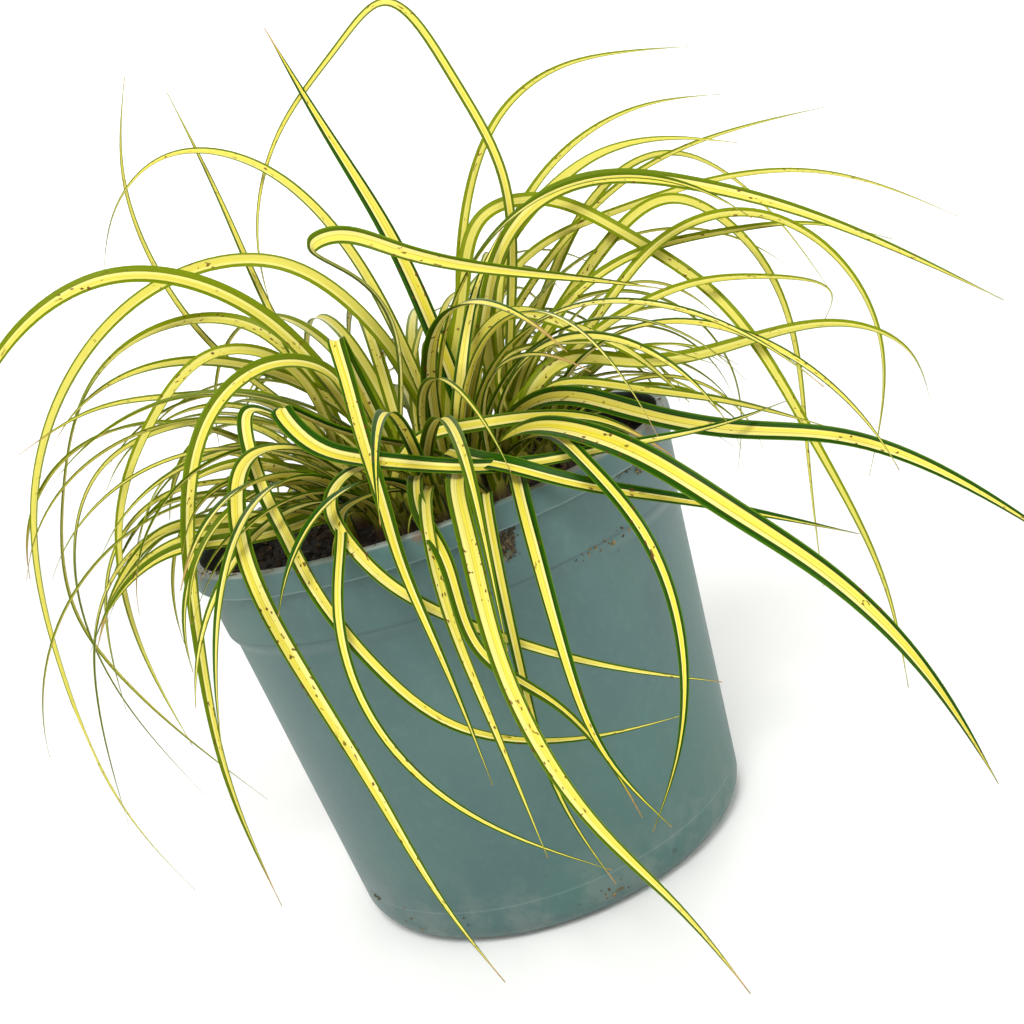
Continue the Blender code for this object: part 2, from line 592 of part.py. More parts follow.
def make_tillers(feet, blades):
    # The EXACT solver leaves blades that cross at a slight angle touching along an edge, so
    # these unions use MANIFOLD.
    finish = material("sedge_blades", (0.45, 0.50, 0.06), 0.4)
    for number, (foot, held) in enumerate(zip(feet, blades), start=1):
        heights = (SHEATH_BOTTOM, SHEATH_TOP)
        tiller = prism(f"tiller_{number:02d}", foot, SHEATH_SIDES, SHEATH_RADII, heights, finish)
        helpers = []
        for corners in held:
            rings = len(corners)
            faces = [(0, 1, 2), (3 * rings - 1, 3 * rings - 2, 3 * rings - 3)]
            for ring in range(rings - 1):
                for side in range(3):
                    a, b = 3 * ring + side, 3 * ring + (side + 1) % 3
                    faces.append((a, a + 3, b + 3, b))
            helpers.append(add_mesh("blade", corners.reshape(-1, 3), faces, finish))
        apply_boolean(tiller, helpers, "UNION", "MANIFOLD")
        keep_outer_shell(tiller)


def main():
    for obj in list(bpy.data.objects):
        bpy.data.objects.remove(obj)
    feet, blades = grow_blades()
    make_pot()
    make_soil(feet)
    make_tillers(feet, blades)


main()
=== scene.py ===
# A potted sedge: yellow-striped blades arching from a round blue-grey nursery pot.
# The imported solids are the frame. This script gives them their finer shapes and finishes.
import math

import bmesh
import bpy
import numpy as np
from mathutils import Matrix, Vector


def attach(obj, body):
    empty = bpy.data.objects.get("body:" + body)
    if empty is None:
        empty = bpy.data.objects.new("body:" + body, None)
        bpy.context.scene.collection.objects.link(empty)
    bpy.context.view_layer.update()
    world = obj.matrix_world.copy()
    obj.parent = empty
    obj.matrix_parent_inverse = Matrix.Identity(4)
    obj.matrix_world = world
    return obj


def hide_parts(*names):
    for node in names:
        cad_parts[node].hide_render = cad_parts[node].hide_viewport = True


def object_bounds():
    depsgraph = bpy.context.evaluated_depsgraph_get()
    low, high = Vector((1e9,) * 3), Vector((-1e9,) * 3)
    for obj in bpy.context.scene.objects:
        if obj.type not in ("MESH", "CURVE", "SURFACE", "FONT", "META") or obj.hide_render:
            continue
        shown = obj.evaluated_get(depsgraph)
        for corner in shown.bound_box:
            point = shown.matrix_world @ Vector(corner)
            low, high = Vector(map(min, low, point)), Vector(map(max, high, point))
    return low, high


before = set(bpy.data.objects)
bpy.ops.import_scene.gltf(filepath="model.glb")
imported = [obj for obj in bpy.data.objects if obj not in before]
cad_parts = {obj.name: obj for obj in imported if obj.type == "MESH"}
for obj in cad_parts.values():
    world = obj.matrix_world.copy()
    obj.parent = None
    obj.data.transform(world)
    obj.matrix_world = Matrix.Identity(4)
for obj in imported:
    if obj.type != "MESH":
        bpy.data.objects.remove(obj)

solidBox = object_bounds()
mm = 0.001
print("frame loaded:", len(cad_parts), "nodes")


def screenColour(red, green, blue):
    # A screen colour from 0 to 255 as linear light: the share, plus 0.055, over 1.055, to the 2.4.
    share = np.array([red, green, blue]) / 255
    return (*np.where(share < 0.04045, share / 12.92, ((share + 0.055) / 1.055) ** 2.4).tolist(), 1.0)


def lump(points, size, seed):
    # Value noise from -1 to 1: random numbers on a lattice of cubes this size, blended inside
    # each cube with the smooth step 3u^2 - 2u^3.
    table = np.random.default_rng(seed).uniform(-1, 1, (32, 32, 32))
    place = np.asarray(points, float) / size
    corner = np.floor(place).astype(int)
    u = place - corner
    u = u * u * (3 - 2 * u)
    total = np.zeros(place.shape[:-1])
    for x in (0, 1):
        for y in (0, 1):
            for z in (0, 1):
                weight = np.abs(1 - x - u[..., 0]) * np.abs(1 - y - u[..., 1]) * np.abs(1 - z - u[..., 2])
                at = (corner + (x, y, z)) % 32
                total += weight * table[at[..., 0], at[..., 1], at[..., 2]]
    return total


def meshFrom(name, points, faces, finish, uvMaps=()):
    # Points in millimetres and faces as corner numbers. A UV map gives each point a pair of values.
    mesh = bpy.data.meshes.new(name)
    mesh.from_pydata((np.asarray(points) * mm).tolist(), [], faces)
    corners = np.empty(len(mesh.loops), np.int32)
    mesh.loops.foreach_get("vertex_index", corners)
    for label, pairs in uvMaps:
        layer = mesh.uv_layers.new(name=label)
        layer.data.foreach_set("uv", np.asarray(pairs, np.float32)[corners].ravel())
    mesh.shade_smooth()
    piece = bpy.data.objects.new(name, mesh)
    mesh.materials.append(finish)
    bpy.context.scene.collection.objects.link(piece)
    return piece


def gridFaces(rows, columns, start=0):
    # Four-cornered faces between each row of points and the next, closed round the columns.
    row, column = np.meshgrid(np.arange(rows - 1), np.arange(columns), indexing="ij")
    here = start + row * columns + column
    beside = start + row * columns + (column + 1) % columns
    return np.stack([here, beside, beside + columns, here + columns], axis=-1).reshape(-1, 4)


def tubeFaces(rows, columns, start=0):
    # The same faces as a list, with one more to close each end.
    faces = gridFaces(rows, columns, start).tolist()
    faces.append(list(range(start, start + columns))[::-1])
    last = start + (rows - 1) * columns
    faces.append(list(range(last, last + columns)))
    return faces


def aroundAngles(count):
    return np.linspace(0, 2 * math.pi, count, endpoint=False)


def runningSum(lengths):
    return np.concatenate([[0], np.cumsum(lengths)])


def unit(vectors):
    return vectors / np.linalg.norm(vectors, axis=-1, keepdims=True)


def turnedPoints(profile, sides):
    # A profile of (radius, height) carried round the upright axis: (r cos a, r sin a, z).
    angle = aroundAngles(sides)
    radius, height = np.asarray(profile, float).T
    x = radius[:, None] * np.cos(angle)
    y = radius[:, None] * np.sin(angle)
    return np.stack([x, y, np.broadcast_to(height[:, None], x.shape)], axis=-1)


class Paint:
    # A material, with short words for its nodes. Its colour is laid on in layers.

    def __init__(self, name):
        self.material = bpy.data.materials.new(name)
        self.material.use_nodes = True
        self.tree = self.material.node_tree
        self.shader = self.tree.nodes["Principled BSDF"]
        self.colour = None

    def feed(self, socket, value):
        # A socket takes another node's output, or a plain value.
        if isinstance(value, bpy.types.NodeSocket):
            self.tree.links.new(value, socket)
        else:
            socket.default_value = value

    def node(self, kind, given, **settings):
        # A new node with these settings, whose inputs take the given values. It gives its outputs.
        made = self.tree.nodes.new("ShaderNode" + kind)
        for name, setting in settings.items():
            setattr(made, name, setting)
        for label, value in given.items():
            self.feed(made.inputs[label], value)
        return made.outputs

    def calculate(self, operation, *values):
        return self.node("Math", dict(enumerate(values)), operation=operation)[0]

    def times(self, first, second):
        return self.calculate("MULTIPLY", first, second)

    def timesPlus(self, first, second, third):
        return self.calculate("MULTIPLY_ADD", first, second, third)

    def rise(self, value, low, high):
        # 0 below low, 1 above high, and the smooth step 3u^2 - 2u^3 between them.
        given = {"Value": value, "From Min": low, "From Max": high}
        return self.node("MapRange", given, interpolation_type="SMOOTHSTEP")["Result"]

    def fall(self, value, low, high):
        # 1 below low and 0 above high: 1 less the rise.
        return self.calculate("SUBTRACT", 1.0, self.rise(value, low, high))

    def distance(self, value, middle):
        return self.calculate("ABSOLUTE", self.calculate("SUBTRACT", value, middle))

    def band(self, value, middle, halfWidth):
        # 1 at the middle of a band, falling smoothly to 0 at its edges.
        return self.fall(self.distance(value, middle), 0.0, halfWidth)

    def blend(self, factor, first, second):
        return self.node("Mix", {"Factor": factor, "A": first, "B": second}, data_type="RGBA")["Result"]

    def layer(self, share, strength, colour):
        # The new colour covers the old one by the share times the strength.
        self.colour = self.blend(self.times(share, strength), self.colour, colour)

    def noise(self, where, scale, detail=3.0, roughness=0.5):
        given = {"Vector": where, "Scale": scale, "Detail": detail, "Roughness": roughness}
        return self.node("TexNoise", given)["Fac"]

    def combine(self, *parts):
        return self.node("CombineXYZ", dict(enumerate(parts)))[0]

    def parts(self, source):
        return self.node("SeparateXYZ", {0: source})

    def uvPair(self, label):
        return self.parts(self.node("UVMap", {}, uv_map=label)[0])[:2]

    def objectPlace(self):
        source = self.node("TexCoord", {})["Object"]
        return source, *self.parts(source)

    def axisSquared(self, x, y):
        # The squared distance from the upright axis: x^2 + y^2.
        return self.timesPlus(y, y, self.times(x, x))

    def bump(self, height, distance, strength):
        given = {"Strength": strength, "Distance": distance, "Height": height}
        self.feed(self.shader.inputs["Normal"], self.node("Bump", given)[0])

    def finish(self, roughness, specular=0.5):
        self.feed(self.shader.inputs["Base Color"], self.colour)
        self.feed(self.shader.inputs["Roughness"], roughness)
        self.shader.inputs["Specular IOR Level"].default_value = specular
        return self.material


# The tuft's growth in millimetres. It repeats the rule and the drawn paths of the solids.

tuft = {
    "seed": 11,
    "tillers": 38,
    "crownRadius": 34.0,
    "crownMiddle": (1.0, 0.0),
    "sheathBottom": 92.4,
    "sheathTop": 115.0,
    "sheathRadii": (3.1, 2.3),
    "startDepth": 7.0,
    "startOffset": 0.6,
    "mostBlades": 6,
    "keelDepth": 1.0,
    "tipKeelDepth": 0.62,
    "tipWidth": 0.7,
    "taperPower": 2.8,
    "bendWeight": 34.0,
    "ringShare": 21.0,
    "ringRange": (7, 17),
    "grownBlades": 125,
    "widestReach": 135.0,
    "clearanceCell": 1.0,
    "cellRange": ((-215, 215), (-215, 215), (0, 270)),
    "tracedReach": 400.0,
    "grownReach": 16.0,
    "nearTillers": 6,
    "lowestBlade": 4.0,
    "tries": 120,
    "youngest": 0.55,
    "widestSway": 9.0,
    "potHeight": 115.0,
    "lipRadius": 70.0,
    "soilHeight": 107.0,
}

viewer = (0.1, -0.82, 0.56)
sky = (0.0, -0.35, 0.94)
rightUp = (0.45, -0.6, 0.66)

# Blades that the photograph shows one by one. Each row holds the foot (x, y), the width, the
# direction that the upper face looks in halfway along, the twist in degrees from foot to tip,
# and the points that the blade passes through.
drawnBlades = [
    # the broad blades over the right front
    ((6, -20), 6.0, viewer, -20,
     [(-20, -26, 141), (-28, -28, 149), (-25, -36, 142), (-15, -46, 134), (-2, -54, 129),
      (20, -62, 122), (46, -64, 118), (70, -60, 114), (91, -51, 112)]),
    ((-2, -22), 4.6, viewer, 20,
     [(0, -28, 128), (16, -34, 129), (34, -38, 126), (48, -45, 121), (60, -54, 109)]),
    ((18, -22), 6.5, viewer, 15,
     [(28, -38, 123), (40, -52, 121), (53, -64, 112), (68, -76, 95), (80, -84, 80), (92, -90, 58),
      (103, -93, 21)]),
    ((16, -28), 5.2, viewer, -10,
     [(20, -52, 120), (28, -66, 118), (42, -74, 110), (60, -77, 101), (92, -78, 83)]),
    ((20, -16), 6.2, viewer, 10,
     [(36, -27, 129), (54, -38, 122), (78, -53, 110), (98, -64, 103), (119, -77, 86), (136, -88, 64)]),
    ((24, -14), 4.6, sky, 25,
     [(38, -21, 130), (56, -30, 125), (78, -40, 115), (98, -50, 103)]),
    ((26, -8), 5.8, rightUp, -20,
     [(46, -9, 134), (60, -10, 129), (78, -11, 124), (100, -13, 123), (121, -16, 119), (135, -17, 106),
      (137, -16, 92)]),
    # the long front blade, and those that hang over the front of the rim
    ((12, -22), 5.2, viewer, 25,
     [(11, -44, 123), (9, -64, 122), (8, -84, 113), (7, -110, 91), (15, -129, 61), (24, -136, 45),
      (32, -138, 23)]),
    ((-8, -24), 4.8, viewer, -20,
     [(-37, -40, 141), (-42, -54, 133), (-42, -68, 120), (-37, -84, 102), (-28, -100, 73), (-20, -112, 44),
      (-14, -118, 30)]),
    ((-6, -16), 4.6, viewer, 10,
     [(-8, -20, 150), (-9, -26, 161), (-9, -32, 154), (-9, -44, 142), (-8, -70, 123), (-7, -88, 112),
      (-5, -98, 94), (-4, -100, 64)]),
    ((-14, -20), 4.1, viewer, 20,
     [(-27, -23, 145), (-34, -29, 152), (-36, -38, 141), (-31, -60, 124), (-26, -78, 112), (-18, -88, 94),
      (-7, -91, 77), (11, -91, 66), (42, -82, 57)]),
    ((-2, -28), 3.8, viewer, 15,
     [(-12, -44, 130), (-20, -58, 126), (-18, -67, 119), (-10, -78, 107), (2, -84, 96), (24, -86, 79),
      (52, -78, 60)]),
    ((4, -28), 4.1, viewer, -15,
     [(0, -52, 125), (-1, -68, 120), (2, -86, 110), (3, -96, 92), (13, -99, 79), (24, -103, 47)]),
    ((20, -26), 4.4, viewer, 30,
     [(24, -46, 121), (25, -66, 119), (24, -84, 109), (22, -99, 88), (22, -106, 68), (29, -111, 47)]),
    ((22, -24), 4.0, viewer, -25,
     [(24, -46, 126), (26, -68, 123), (31, -86, 108), (33, -99, 82), (30, -103, 60), (25, -103, 43)]),
    ((0, -30), 3.4, viewer, 10,
     [(2, -50, 121), (1, -68, 121), (-1, -92, 101), (0, -99, 83), (2, -104, 46)]),
    ((8, -30), 3.4, viewer, -10,
     [(13, -56, 115), (13, -68, 118), (11, -80, 109), (8, -94, 84), (8, -102, 56), (14, -106, 36)]),
    ((-14, -28), 2.9, viewer, 10,
     [(-16, -50, 123), (-17, -66, 121), (-21, -84, 108), (-21, -96, 86), (-12, -100, 64), (14, -98, 35)]),
    # arches over the right
    ((14, -2), 5.3, viewer, 15,
     [(28, -4, 149), (38, -6, 166), (50, -8, 175), (66, -11, 177), (88, -16, 169), (112, -21, 154),
      (157, -30, 114)]),
    ((22, -2), 4.7, viewer, -25,
     [(34, -2, 157), (42, 0, 167), (56, 2, 176), (72, 4, 182), (92, 7, 181), (112, 9, 173)]),
    ((10, 8), 4.7, viewer, 20,
     [(26, 10, 158), (40, 13, 178), (56, 13, 177), (74, 8, 162), (92, -3, 138), (103, -20, 94),
      (107, -34, 50), (104, -38, 24)]),
    ((20, 14), 3.4, viewer, 20,
     [(42, 28, 142), (60, 38, 160), (82, 50, 175), (102, 60, 177), (125, 72, 160), (150, 86, 110)]),
    ((22, 6), 4.0, viewer, -15,
     [(42, 8, 140), (64, 10, 158), (88, 12, 167), (103, 13, 154), (112, 14, 124), (108, 14, 88),
      (101, 13, 40)]),
    ((28, 0), 3.6, viewer, 20,
     [(44, 3, 131), (64, 4, 143), (84, 4, 155), (108, 4, 156), (128, 4, 140), (136, 4, 110), (121, 4, 71)]),
    ((24, 14), 3.6, sky, 15,
     [(48, 26, 144), (70, 33, 144), (90, 40, 131), (100, 44, 104), (90, 42, 72)]),
    ((22, 2), 3.4, viewer, -10,
     [(46, 3, 142), (74, 4, 153), (102, 5, 151), (124, 6, 146), (146, 7, 134)]),
    ((26, -4), 3.4, viewer, 15,
     [(44, -4, 133), (60, -5, 139), (85, -6, 142), (106, -8, 137), (121, -9, 126), (117, -9, 121)]),
    ((16, -8), 4.5, viewer, 20,
     [(26, -10, 147), (34, -12, 151), (48, -18, 144), (60, -22, 134), (72, -27, 115)]),
    ((20, -6), 3.4, sky, 0, [(30, -6, 140), (48, -9, 139), (68, -13, 131), (84, -16, 120)]),
    ((18, 12), 2.9, viewer, 10,
     [(44, 16, 161), (76, 24, 166), (109, 33, 165), (141, 41, 157), (185, 53, 128)]),
    ((18, 18), 3.1, viewer, 10,
     [(36, 28, 182), (54, 37, 203), (76, 48, 211), (98, 59, 210), (122, 74, 206)]),
    ((24, 8), 3.1, viewer, -10, [(44, 20, 172), (66, 29, 187), (94, 39, 192), (121, 48, 188)]),
    ((22, 18), 2.7, viewer, 5, [(56, 33, 160), (84, 44, 173), (118, 58, 177), (160, 74, 174)]),
    # upright blades
    ((14, 2), 5.5, viewer, 15, [(15, 3, 146), (12, 4, 180), (5, 4, 212), (-1, 5, 241)]),
    ((8, -10), 4.3, viewer, 0, [(14, -22, 131), (22, -16, 148), (32, -10, 163), (41, -6, 172)]),
    ((30, -4), 3.4, viewer, -15,
     [(45, -4, 184), (40, -2, 214), (29, 1, 236), (17, 4, 231), (-10, 12, 213), (-24, 15, 190),
      (-27, 16, 165)]),
    ((-18, 14), 2.7, viewer, 10, [(-28, 18, 172), (-30, 19, 204), (-33, 19, 236)]),
    ((-20, 20), 2.2, viewer, 0, [(-46, 30, 162), (-56, 34, 190), (-55, 33, 222), (-44, 29, 245)]),
    # arches over the left
    ((-10, -2), 6.2, viewer, -20,
     [(-18, -4, 153), (-26, -6, 170), (-40, -9, 185), (-58, -13, 193), (-80, -17, 190), (-100, -21, 176),
      (-118, -25, 150)]),
    ((2, 8), 4.0, viewer, 20,
     [(-3, 9, 163), (-18, 11, 182), (-44, 15, 189), (-80, 20, 178), (-112, 24, 144), (-127, 26, 88),
      (-125, 26, 34), (-116, 25, 8)]),
    ((-16, 12), 4.7, sky, 25,
     [(-34, 20, 169), (-60, 29, 177), (-90, 39, 167), (-111, 45, 140), (-124, 49, 100), (-116, 47, 71),
      (-87, 38, 24)]),
    ((-18, 0), 3.6, viewer, -15,
     [(-28, 1, 159), (-42, 0, 166), (-64, -2, 156), (-83, -3, 134), (-92, -3, 104), (-90, -3, 63)]),
    ((-24, 6), 3.6, sky, 10,
     [(-42, 7, 143), (-62, 8, 150), (-86, 8, 146), (-104, 9, 124), (-108, 9, 84), (-96, 8, 44)]),
    ((-20, 4), 2.9, viewer, 10, [(-34, 4, 149), (-54, 3, 157), (-80, 2, 162), (-104, 1, 157)]),
    ((-12, -8), 4.8, viewer, 15,
     [(-15, -10, 152), (-26, -16, 159), (-44, -25, 154), (-58, -33, 133), (-67, -37, 102), (-73, -41, 66),
      (-73, -41, 25)]),
    ((-30, -8), 4.0, sky, 20,
     [(-52, -10, 121), (-70, -10, 126), (-86, -10, 121), (-100, -10, 106), (-108, -12, 82),
      (-112, -14, 50)]),
    ((-30, 2), 3.4, sky, -20,
     [(-50, 2, 130), (-72, 0, 133), (-88, 0, 125), (-98, 0, 110), (-104, -2, 78)]),
    ((0, 12), 3.4, viewer, 20,
     [(3, 9, 183), (-10, 12, 207), (-38, 20, 220), (-60, 26, 210), (-71, 28, 194)]),
    ((-6, -12), 5.3, viewer, 10,
     [(-2, -15, 176), (-8, -18, 184), (-4, -20, 185), (12, -26, 177), (36, -29, 163), (62, -24, 151),
      (76, -19, 144)]),
    # the low bundle over the left rim
    ((-24, 4), 4.6, viewer, 10,
     [(-29, -8, 122), (-39, 0, 127), (-49, 6, 131), (-61, 10, 132), (-76, 12, 129), (-89, 12, 124)]),
    ((-26, -6), 4.2, sky, 10,
     [(-35, -12, 121), (-53, -6, 127), (-63, -4, 129), (-74, -2, 129), (-84, -2, 124), (-95, -2, 114)]),
    ((-28, -12), 4.8, viewer, -10,
     [(-38, -18, 119), (-51, -14, 123), (-62, -12, 125), (-71, -12, 126), (-81, -12, 122), (-92, -12, 113),
      (-101, -12, 101)]),
    ((-22, -18), 4.8, sky, 15,
     [(-38, -24, 118), (-51, -21, 121), (-61, -19, 123), (-71, -18, 123), (-81, -18, 120), (-90, -18, 114),
      (-101, -18, 102)]),
    ((-16, -22), 4.6, viewer, 10,
     [(-35, -26, 118), (-48, -28, 119), (-59, -27, 121), (-70, -26, 122), (-81, -26, 119), (-93, -26, 110)]),
]


def smoothCurve(points, count):
    # Natural cubic through the points, timed by the distance between them: the slopes solve the
    # equations that make each piece start with the slope and bend that the last one ends with.
    points = np.asarray(points, float)
    gap = np.linalg.norm(np.diff(points, axis=0), axis=1)
    time = runningSum(gap)
    last = len(points) - 1
    rule = np.zeros((last + 1, last + 1))
    want = np.zeros((last + 1, 3))
    step = np.diff(points, axis=0) / gap[:, None]
    rule[0, :2] = 2, 1
    want[0] = 3 * step[0]
    rule[last, last - 1:] = 1, 2
    want[last] = 3 * step[-1]
    for i in range(1, last):
        rule[i, i - 1:i + 2] = gap[i], 2 * (gap[i - 1] + gap[i]), gap[i - 1]
        want[i] = 3 * (gap[i] * step[i - 1] + gap[i - 1] * step[i])
    slope = np.linalg.solve(rule, want)
    at = np.linspace(0, time[-1], count)
    piece = np.clip(np.searchsorted(time, at, "right") - 1, 0, last - 1)
    wide = gap[piece][:, None]
    u = ((at - time[piece])[:, None]) / wide
    return (
        points[piece] * (1 + 2 * u) * (1 - u) ** 2
        + points[piece + 1] * u**2 * (3 - 2 * u)
        + wide * slope[piece] * u * (1 - u) ** 2
        - wide * slope[piece + 1] * u**2 * (1 - u)
    )


def spreadRings(path, ringShare, ringRange):
    # Rings stand close where the path bends: they share out length plus a weight times the turn.
    step = np.diff(path, axis=0)
    length = np.linalg.norm(step, axis=1)
    turn = np.zeros(len(length))
    turn[1:] = np.arccos(np.clip((unit(step)[1:] * unit(step)[:-1]).sum(axis=1), -1, 1))
    share = runningSum(length + tuft["bendWeight"] * turn)
    rings = int(np.clip(round(share[-1] / ringShare), *ringRange))
    at = np.interp(np.linspace(0, share[-1], rings), share, np.arange(len(path)))
    along = np.stack([np.interp(at, np.arange(len(path)), path[:, k]) for k in range(3)], axis=1)
    place = runningSum(length) / length.sum()
    return along, np.interp(at, np.arange(len(path)), place)


def carriedNormals(path, face, twist):
    # The face's direction is set halfway and carried both ways with the least turning, by
    # projecting it on each next cross plane. The twist is then added evenly from end to end.
    tangent = unit(np.gradient(path, axis=0))
    normal = np.zeros_like(path)
    middle = len(path) // 2
    normal[middle] = np.asarray(face, float)
    for order in (range(middle, len(path)), range(middle, -1, -1)):
        held = normal[middle]
        for i in order:
            held = unit(held - (held @ tangent[i]) * tangent[i])
            normal[i] = held
    angle = np.radians(twist) * (np.linspace(0, 1, len(path)) - 0.5)[:, None]
    return normal * np.cos(angle) + np.cross(tangent, normal) * np.sin(angle), tangent


def halfWidths(place, width, tipWidth):
    # Half the width along the blade: it opens over the first 22 percent and tapers by a power.
    grown = np.clip(place / 0.22, 0, 1)
    half = width / 2 * (0.5 + 0.5 * grown * (2 - grown)) * (1 - place ** tuft["taperPower"])
    return np.maximum(half, tipWidth / 2)[:, None]


def bladeCorners(blade):
    # The solid's three lines of corners: the two edges of the upper face, and the keel below.
    path, place = spreadRings(blade["path"], tuft["ringShare"], tuft["ringRange"])
    normal, tangent = carriedNormals(path, blade["face"], blade["twist"])
    across = np.cross(tangent, normal)
    half = halfWidths(place, blade["width"], tuft["tipWidth"])
    keel = (tuft["tipKeelDepth"] + (tuft["keelDepth"] - tuft["tipKeelDepth"]) * (1 - place))[:, None]
    return np.stack([path + across * half, path - across * half, path - normal * keel], axis=1)


def tillerFeet():
    # A sunflower spiral spreads the tillers evenly over the round crown.
    index = np.arange(tuft["tillers"])
    radius = tuft["crownRadius"] * np.sqrt((index + 0.5) / tuft["tillers"])
    angle = index * math.pi * (3 - math.sqrt(5))
    return np.column_stack([radius * np.cos(angle), radius * np.sin(angle)]) + tuft["crownMiddle"]


class Room:
    # Remembers which blade holds each small cell of air, so that no blade crosses another.
    # Blades of one tiller may share the cells within a reach of their foot, where they join.
    nobody = 0
    shared = 255

    def __init__(self):
        self.low = np.array([side[0] for side in tuft["cellRange"]])
        high = np.array([side[1] for side in tuft["cellRange"]])
        self.held = np.zeros((high - self.low) // int(tuft["clearanceCell"]), np.uint8)
        self.tillerOf = np.full(256, -1)
        self.count = 0

    def cells(self, points):
        cells = ((points - self.low) / tuft["clearanceCell"]).astype(int)
        return np.clip(cells, 1, np.array(self.held.shape) - 2)

    def samples(self, corners):
        # Points a cell apart on the blade's faces, between its rings as well as on them.
        left, right, keel = corners[:, 0], corners[:, 1], corners[:, 2]
        weights = ((1, 0, 0), (0.75, 0.25, 0), (0.5, 0.5, 0), (0.25, 0.75, 0), (0, 1, 0), (0, 0, 1))
        lines = np.stack([a * left + b * right + c * keel for a, b, c in weights], axis=1)
        length = np.linalg.norm(np.diff(lines[:, 2], axis=0), axis=1)
        place = runningSum(length)
        at = np.arange(0, place[-1], 0.9 * tuft["clearanceCell"])
        flat = lines.reshape(len(lines), -1)
        fine = np.stack([np.interp(at, place, flat[:, k]) for k in range(flat.shape[1])], axis=1)
        return fine.reshape(-1, 3)

    def isFree(self, corners, tiller, foot, joinedReach):
        points = self.samples(corners)
        reach = np.hypot(points[:, 0], points[:, 1])
        fromFoot = np.linalg.norm(points - (foot[0], foot[1], tuft["sheathTop"]), axis=1)
        pastSheath = np.hypot(*(points[:, :2] - foot).T) > tuft["sheathRadii"][0] + 1.5
        overSoil = (reach < tuft["lipRadius"] - 5) & (points[:, 2] > tuft["soilHeight"] + 0.8)
        outside = (reach > tuft["lipRadius"] + 1.2) | (points[:, 2] > tuft["potHeight"] + 1.2)
        if not (overSoil | outside)[pastSheath].all() or points[:, 2].min() < tuft["lowestBlade"]:
            return False
        x, y, z = self.cells(points).T
        held = self.held[x, y, z]
        own = (self.tillerOf[held] == tiller) & (fromFoot < joinedReach)
        return bool(((held == self.nobody) | own).all())

    def take(self, corners, tiller):
        self.count += 1
        self.tillerOf[self.count] = tiller
        cells = np.unique(self.cells(self.samples(corners)), axis=0)
        near = np.stack(np.meshgrid(*[(-1, 0, 1)] * 3, indexing="ij"), axis=-1).reshape(-1, 3)
        x, y, z = np.unique((cells[:, None] + near).reshape(-1, 3), axis=0).T
        held = self.held[x, y, z]
        mine = (held == self.nobody) | (self.tillerOf[held] == tiller)
        self.held[x, y, z] = np.where(mine, self.count, self.shared)


def sheathCorners(foot):
    # Three of the sheath's side lines, as a blade's corners, so that Room can hold its space.
    angle = np.arange(3) * 2 * math.pi / 3
    ends = []
    for radius, height in zip(tuft["sheathRadii"], (tuft["sheathBottom"], tuft["sheathTop"])):
        ring = np.column_stack([foot[0] + radius * np.cos(angle), foot[1] + radius * np.sin(angle)])
        ends.append(np.column_stack([ring, np.full(3, height)]))
    return np.stack(ends, axis=0)


def bladeStart(foot, number):
    # Inside the sheath, a little lower and to another side of its axis for each blade.
    angle = 2.4 * number + foot[0]
    side = (tuft["startOffset"] * math.cos(angle), tuft["startOffset"] * math.sin(angle))
    height = tuft["sheathTop"] - tuft["startDepth"] - 0.4 * number
    return np.array([foot[0] + side[0], foot[1] + side[1], height])


def tracedBlade(start, width, face, twist, points, sway):
    # A soft push, strongest halfway, moves the drawn path clear of its neighbours.
    stem = [start, start + (0, 0, tuft["startDepth"])]
    path = smoothCurve(stem + list(points), 160)
    path = path + np.sin(np.linspace(0, math.pi, len(path)))[:, None] * sway
    return {"path": path, "width": width, "face": face, "twist": twist}


# The ranges that a grown blade is drawn from, in millimetres and degrees. The heading's and the
# swing's spreads are in radians.
growthRule = {
    "headingSpread": 0.35,
    "middleHeadingSpread": 0.9,
    "lengths": (95, 190),
    "steepest": (74, 88),
    "rimLean": 18,
    "hanging": (-89, -35),
    "swing": 0.3,
    "bendPowers": (0.75, 1.25),
    "faceLift": 1.4,
    "faceSpread": 0.35,
    "widths": (2.9, 5.6),
    "twists": (-70, 70),
    "points": 120,
}


def grownBlade(foot, start, growth, draw):
    # The elevation falls from steep to hanging along the length, and the heading swings a
    # little: the sum of the small steps that way is the path. A growth of 1 is full size.
    rule = growthRule
    middle = tuft["crownMiddle"]
    outward = math.atan2(foot[1] - middle[1], foot[0] - middle[0])
    rim = math.hypot(foot[0] - middle[0], foot[1] - middle[1]) / tuft["crownRadius"]
    heading = outward + draw.normal(0, rule["headingSpread"] + rule["middleHeadingSpread"] * (1 - rim))
    length = draw.uniform(*rule["lengths"]) * growth
    steep = math.radians(draw.uniform(*rule["steepest"]) - rule["rimLean"] * rim * draw.uniform(0, 1))
    hang = math.radians(draw.uniform(*rule["hanging"]))
    swing = draw.normal(0, rule["swing"])
    along = np.linspace(0, 1, rule["points"])
    climb = steep + (hang - steep) * along ** draw.uniform(*rule["bendPowers"])
    turn = heading + swing * along
    flat = np.column_stack([np.cos(turn), np.sin(turn)]) * np.cos(climb)[:, None]
    step = np.column_stack([flat, np.sin(climb)])
    path = np.cumsum(step, axis=0) * length / len(along)
    path = path - path[0] + start
    face = np.array([math.cos(heading), math.sin(heading), rule["faceLift"]])
    face = unit(face + draw.normal(0, rule["faceSpread"], 3))
    width = draw.uniform(*rule["widths"]) * math.sqrt(growth)
    twist = draw.uniform(*rule["twists"])
    return {"path": path, "width": width, "face": face, "twist": twist}


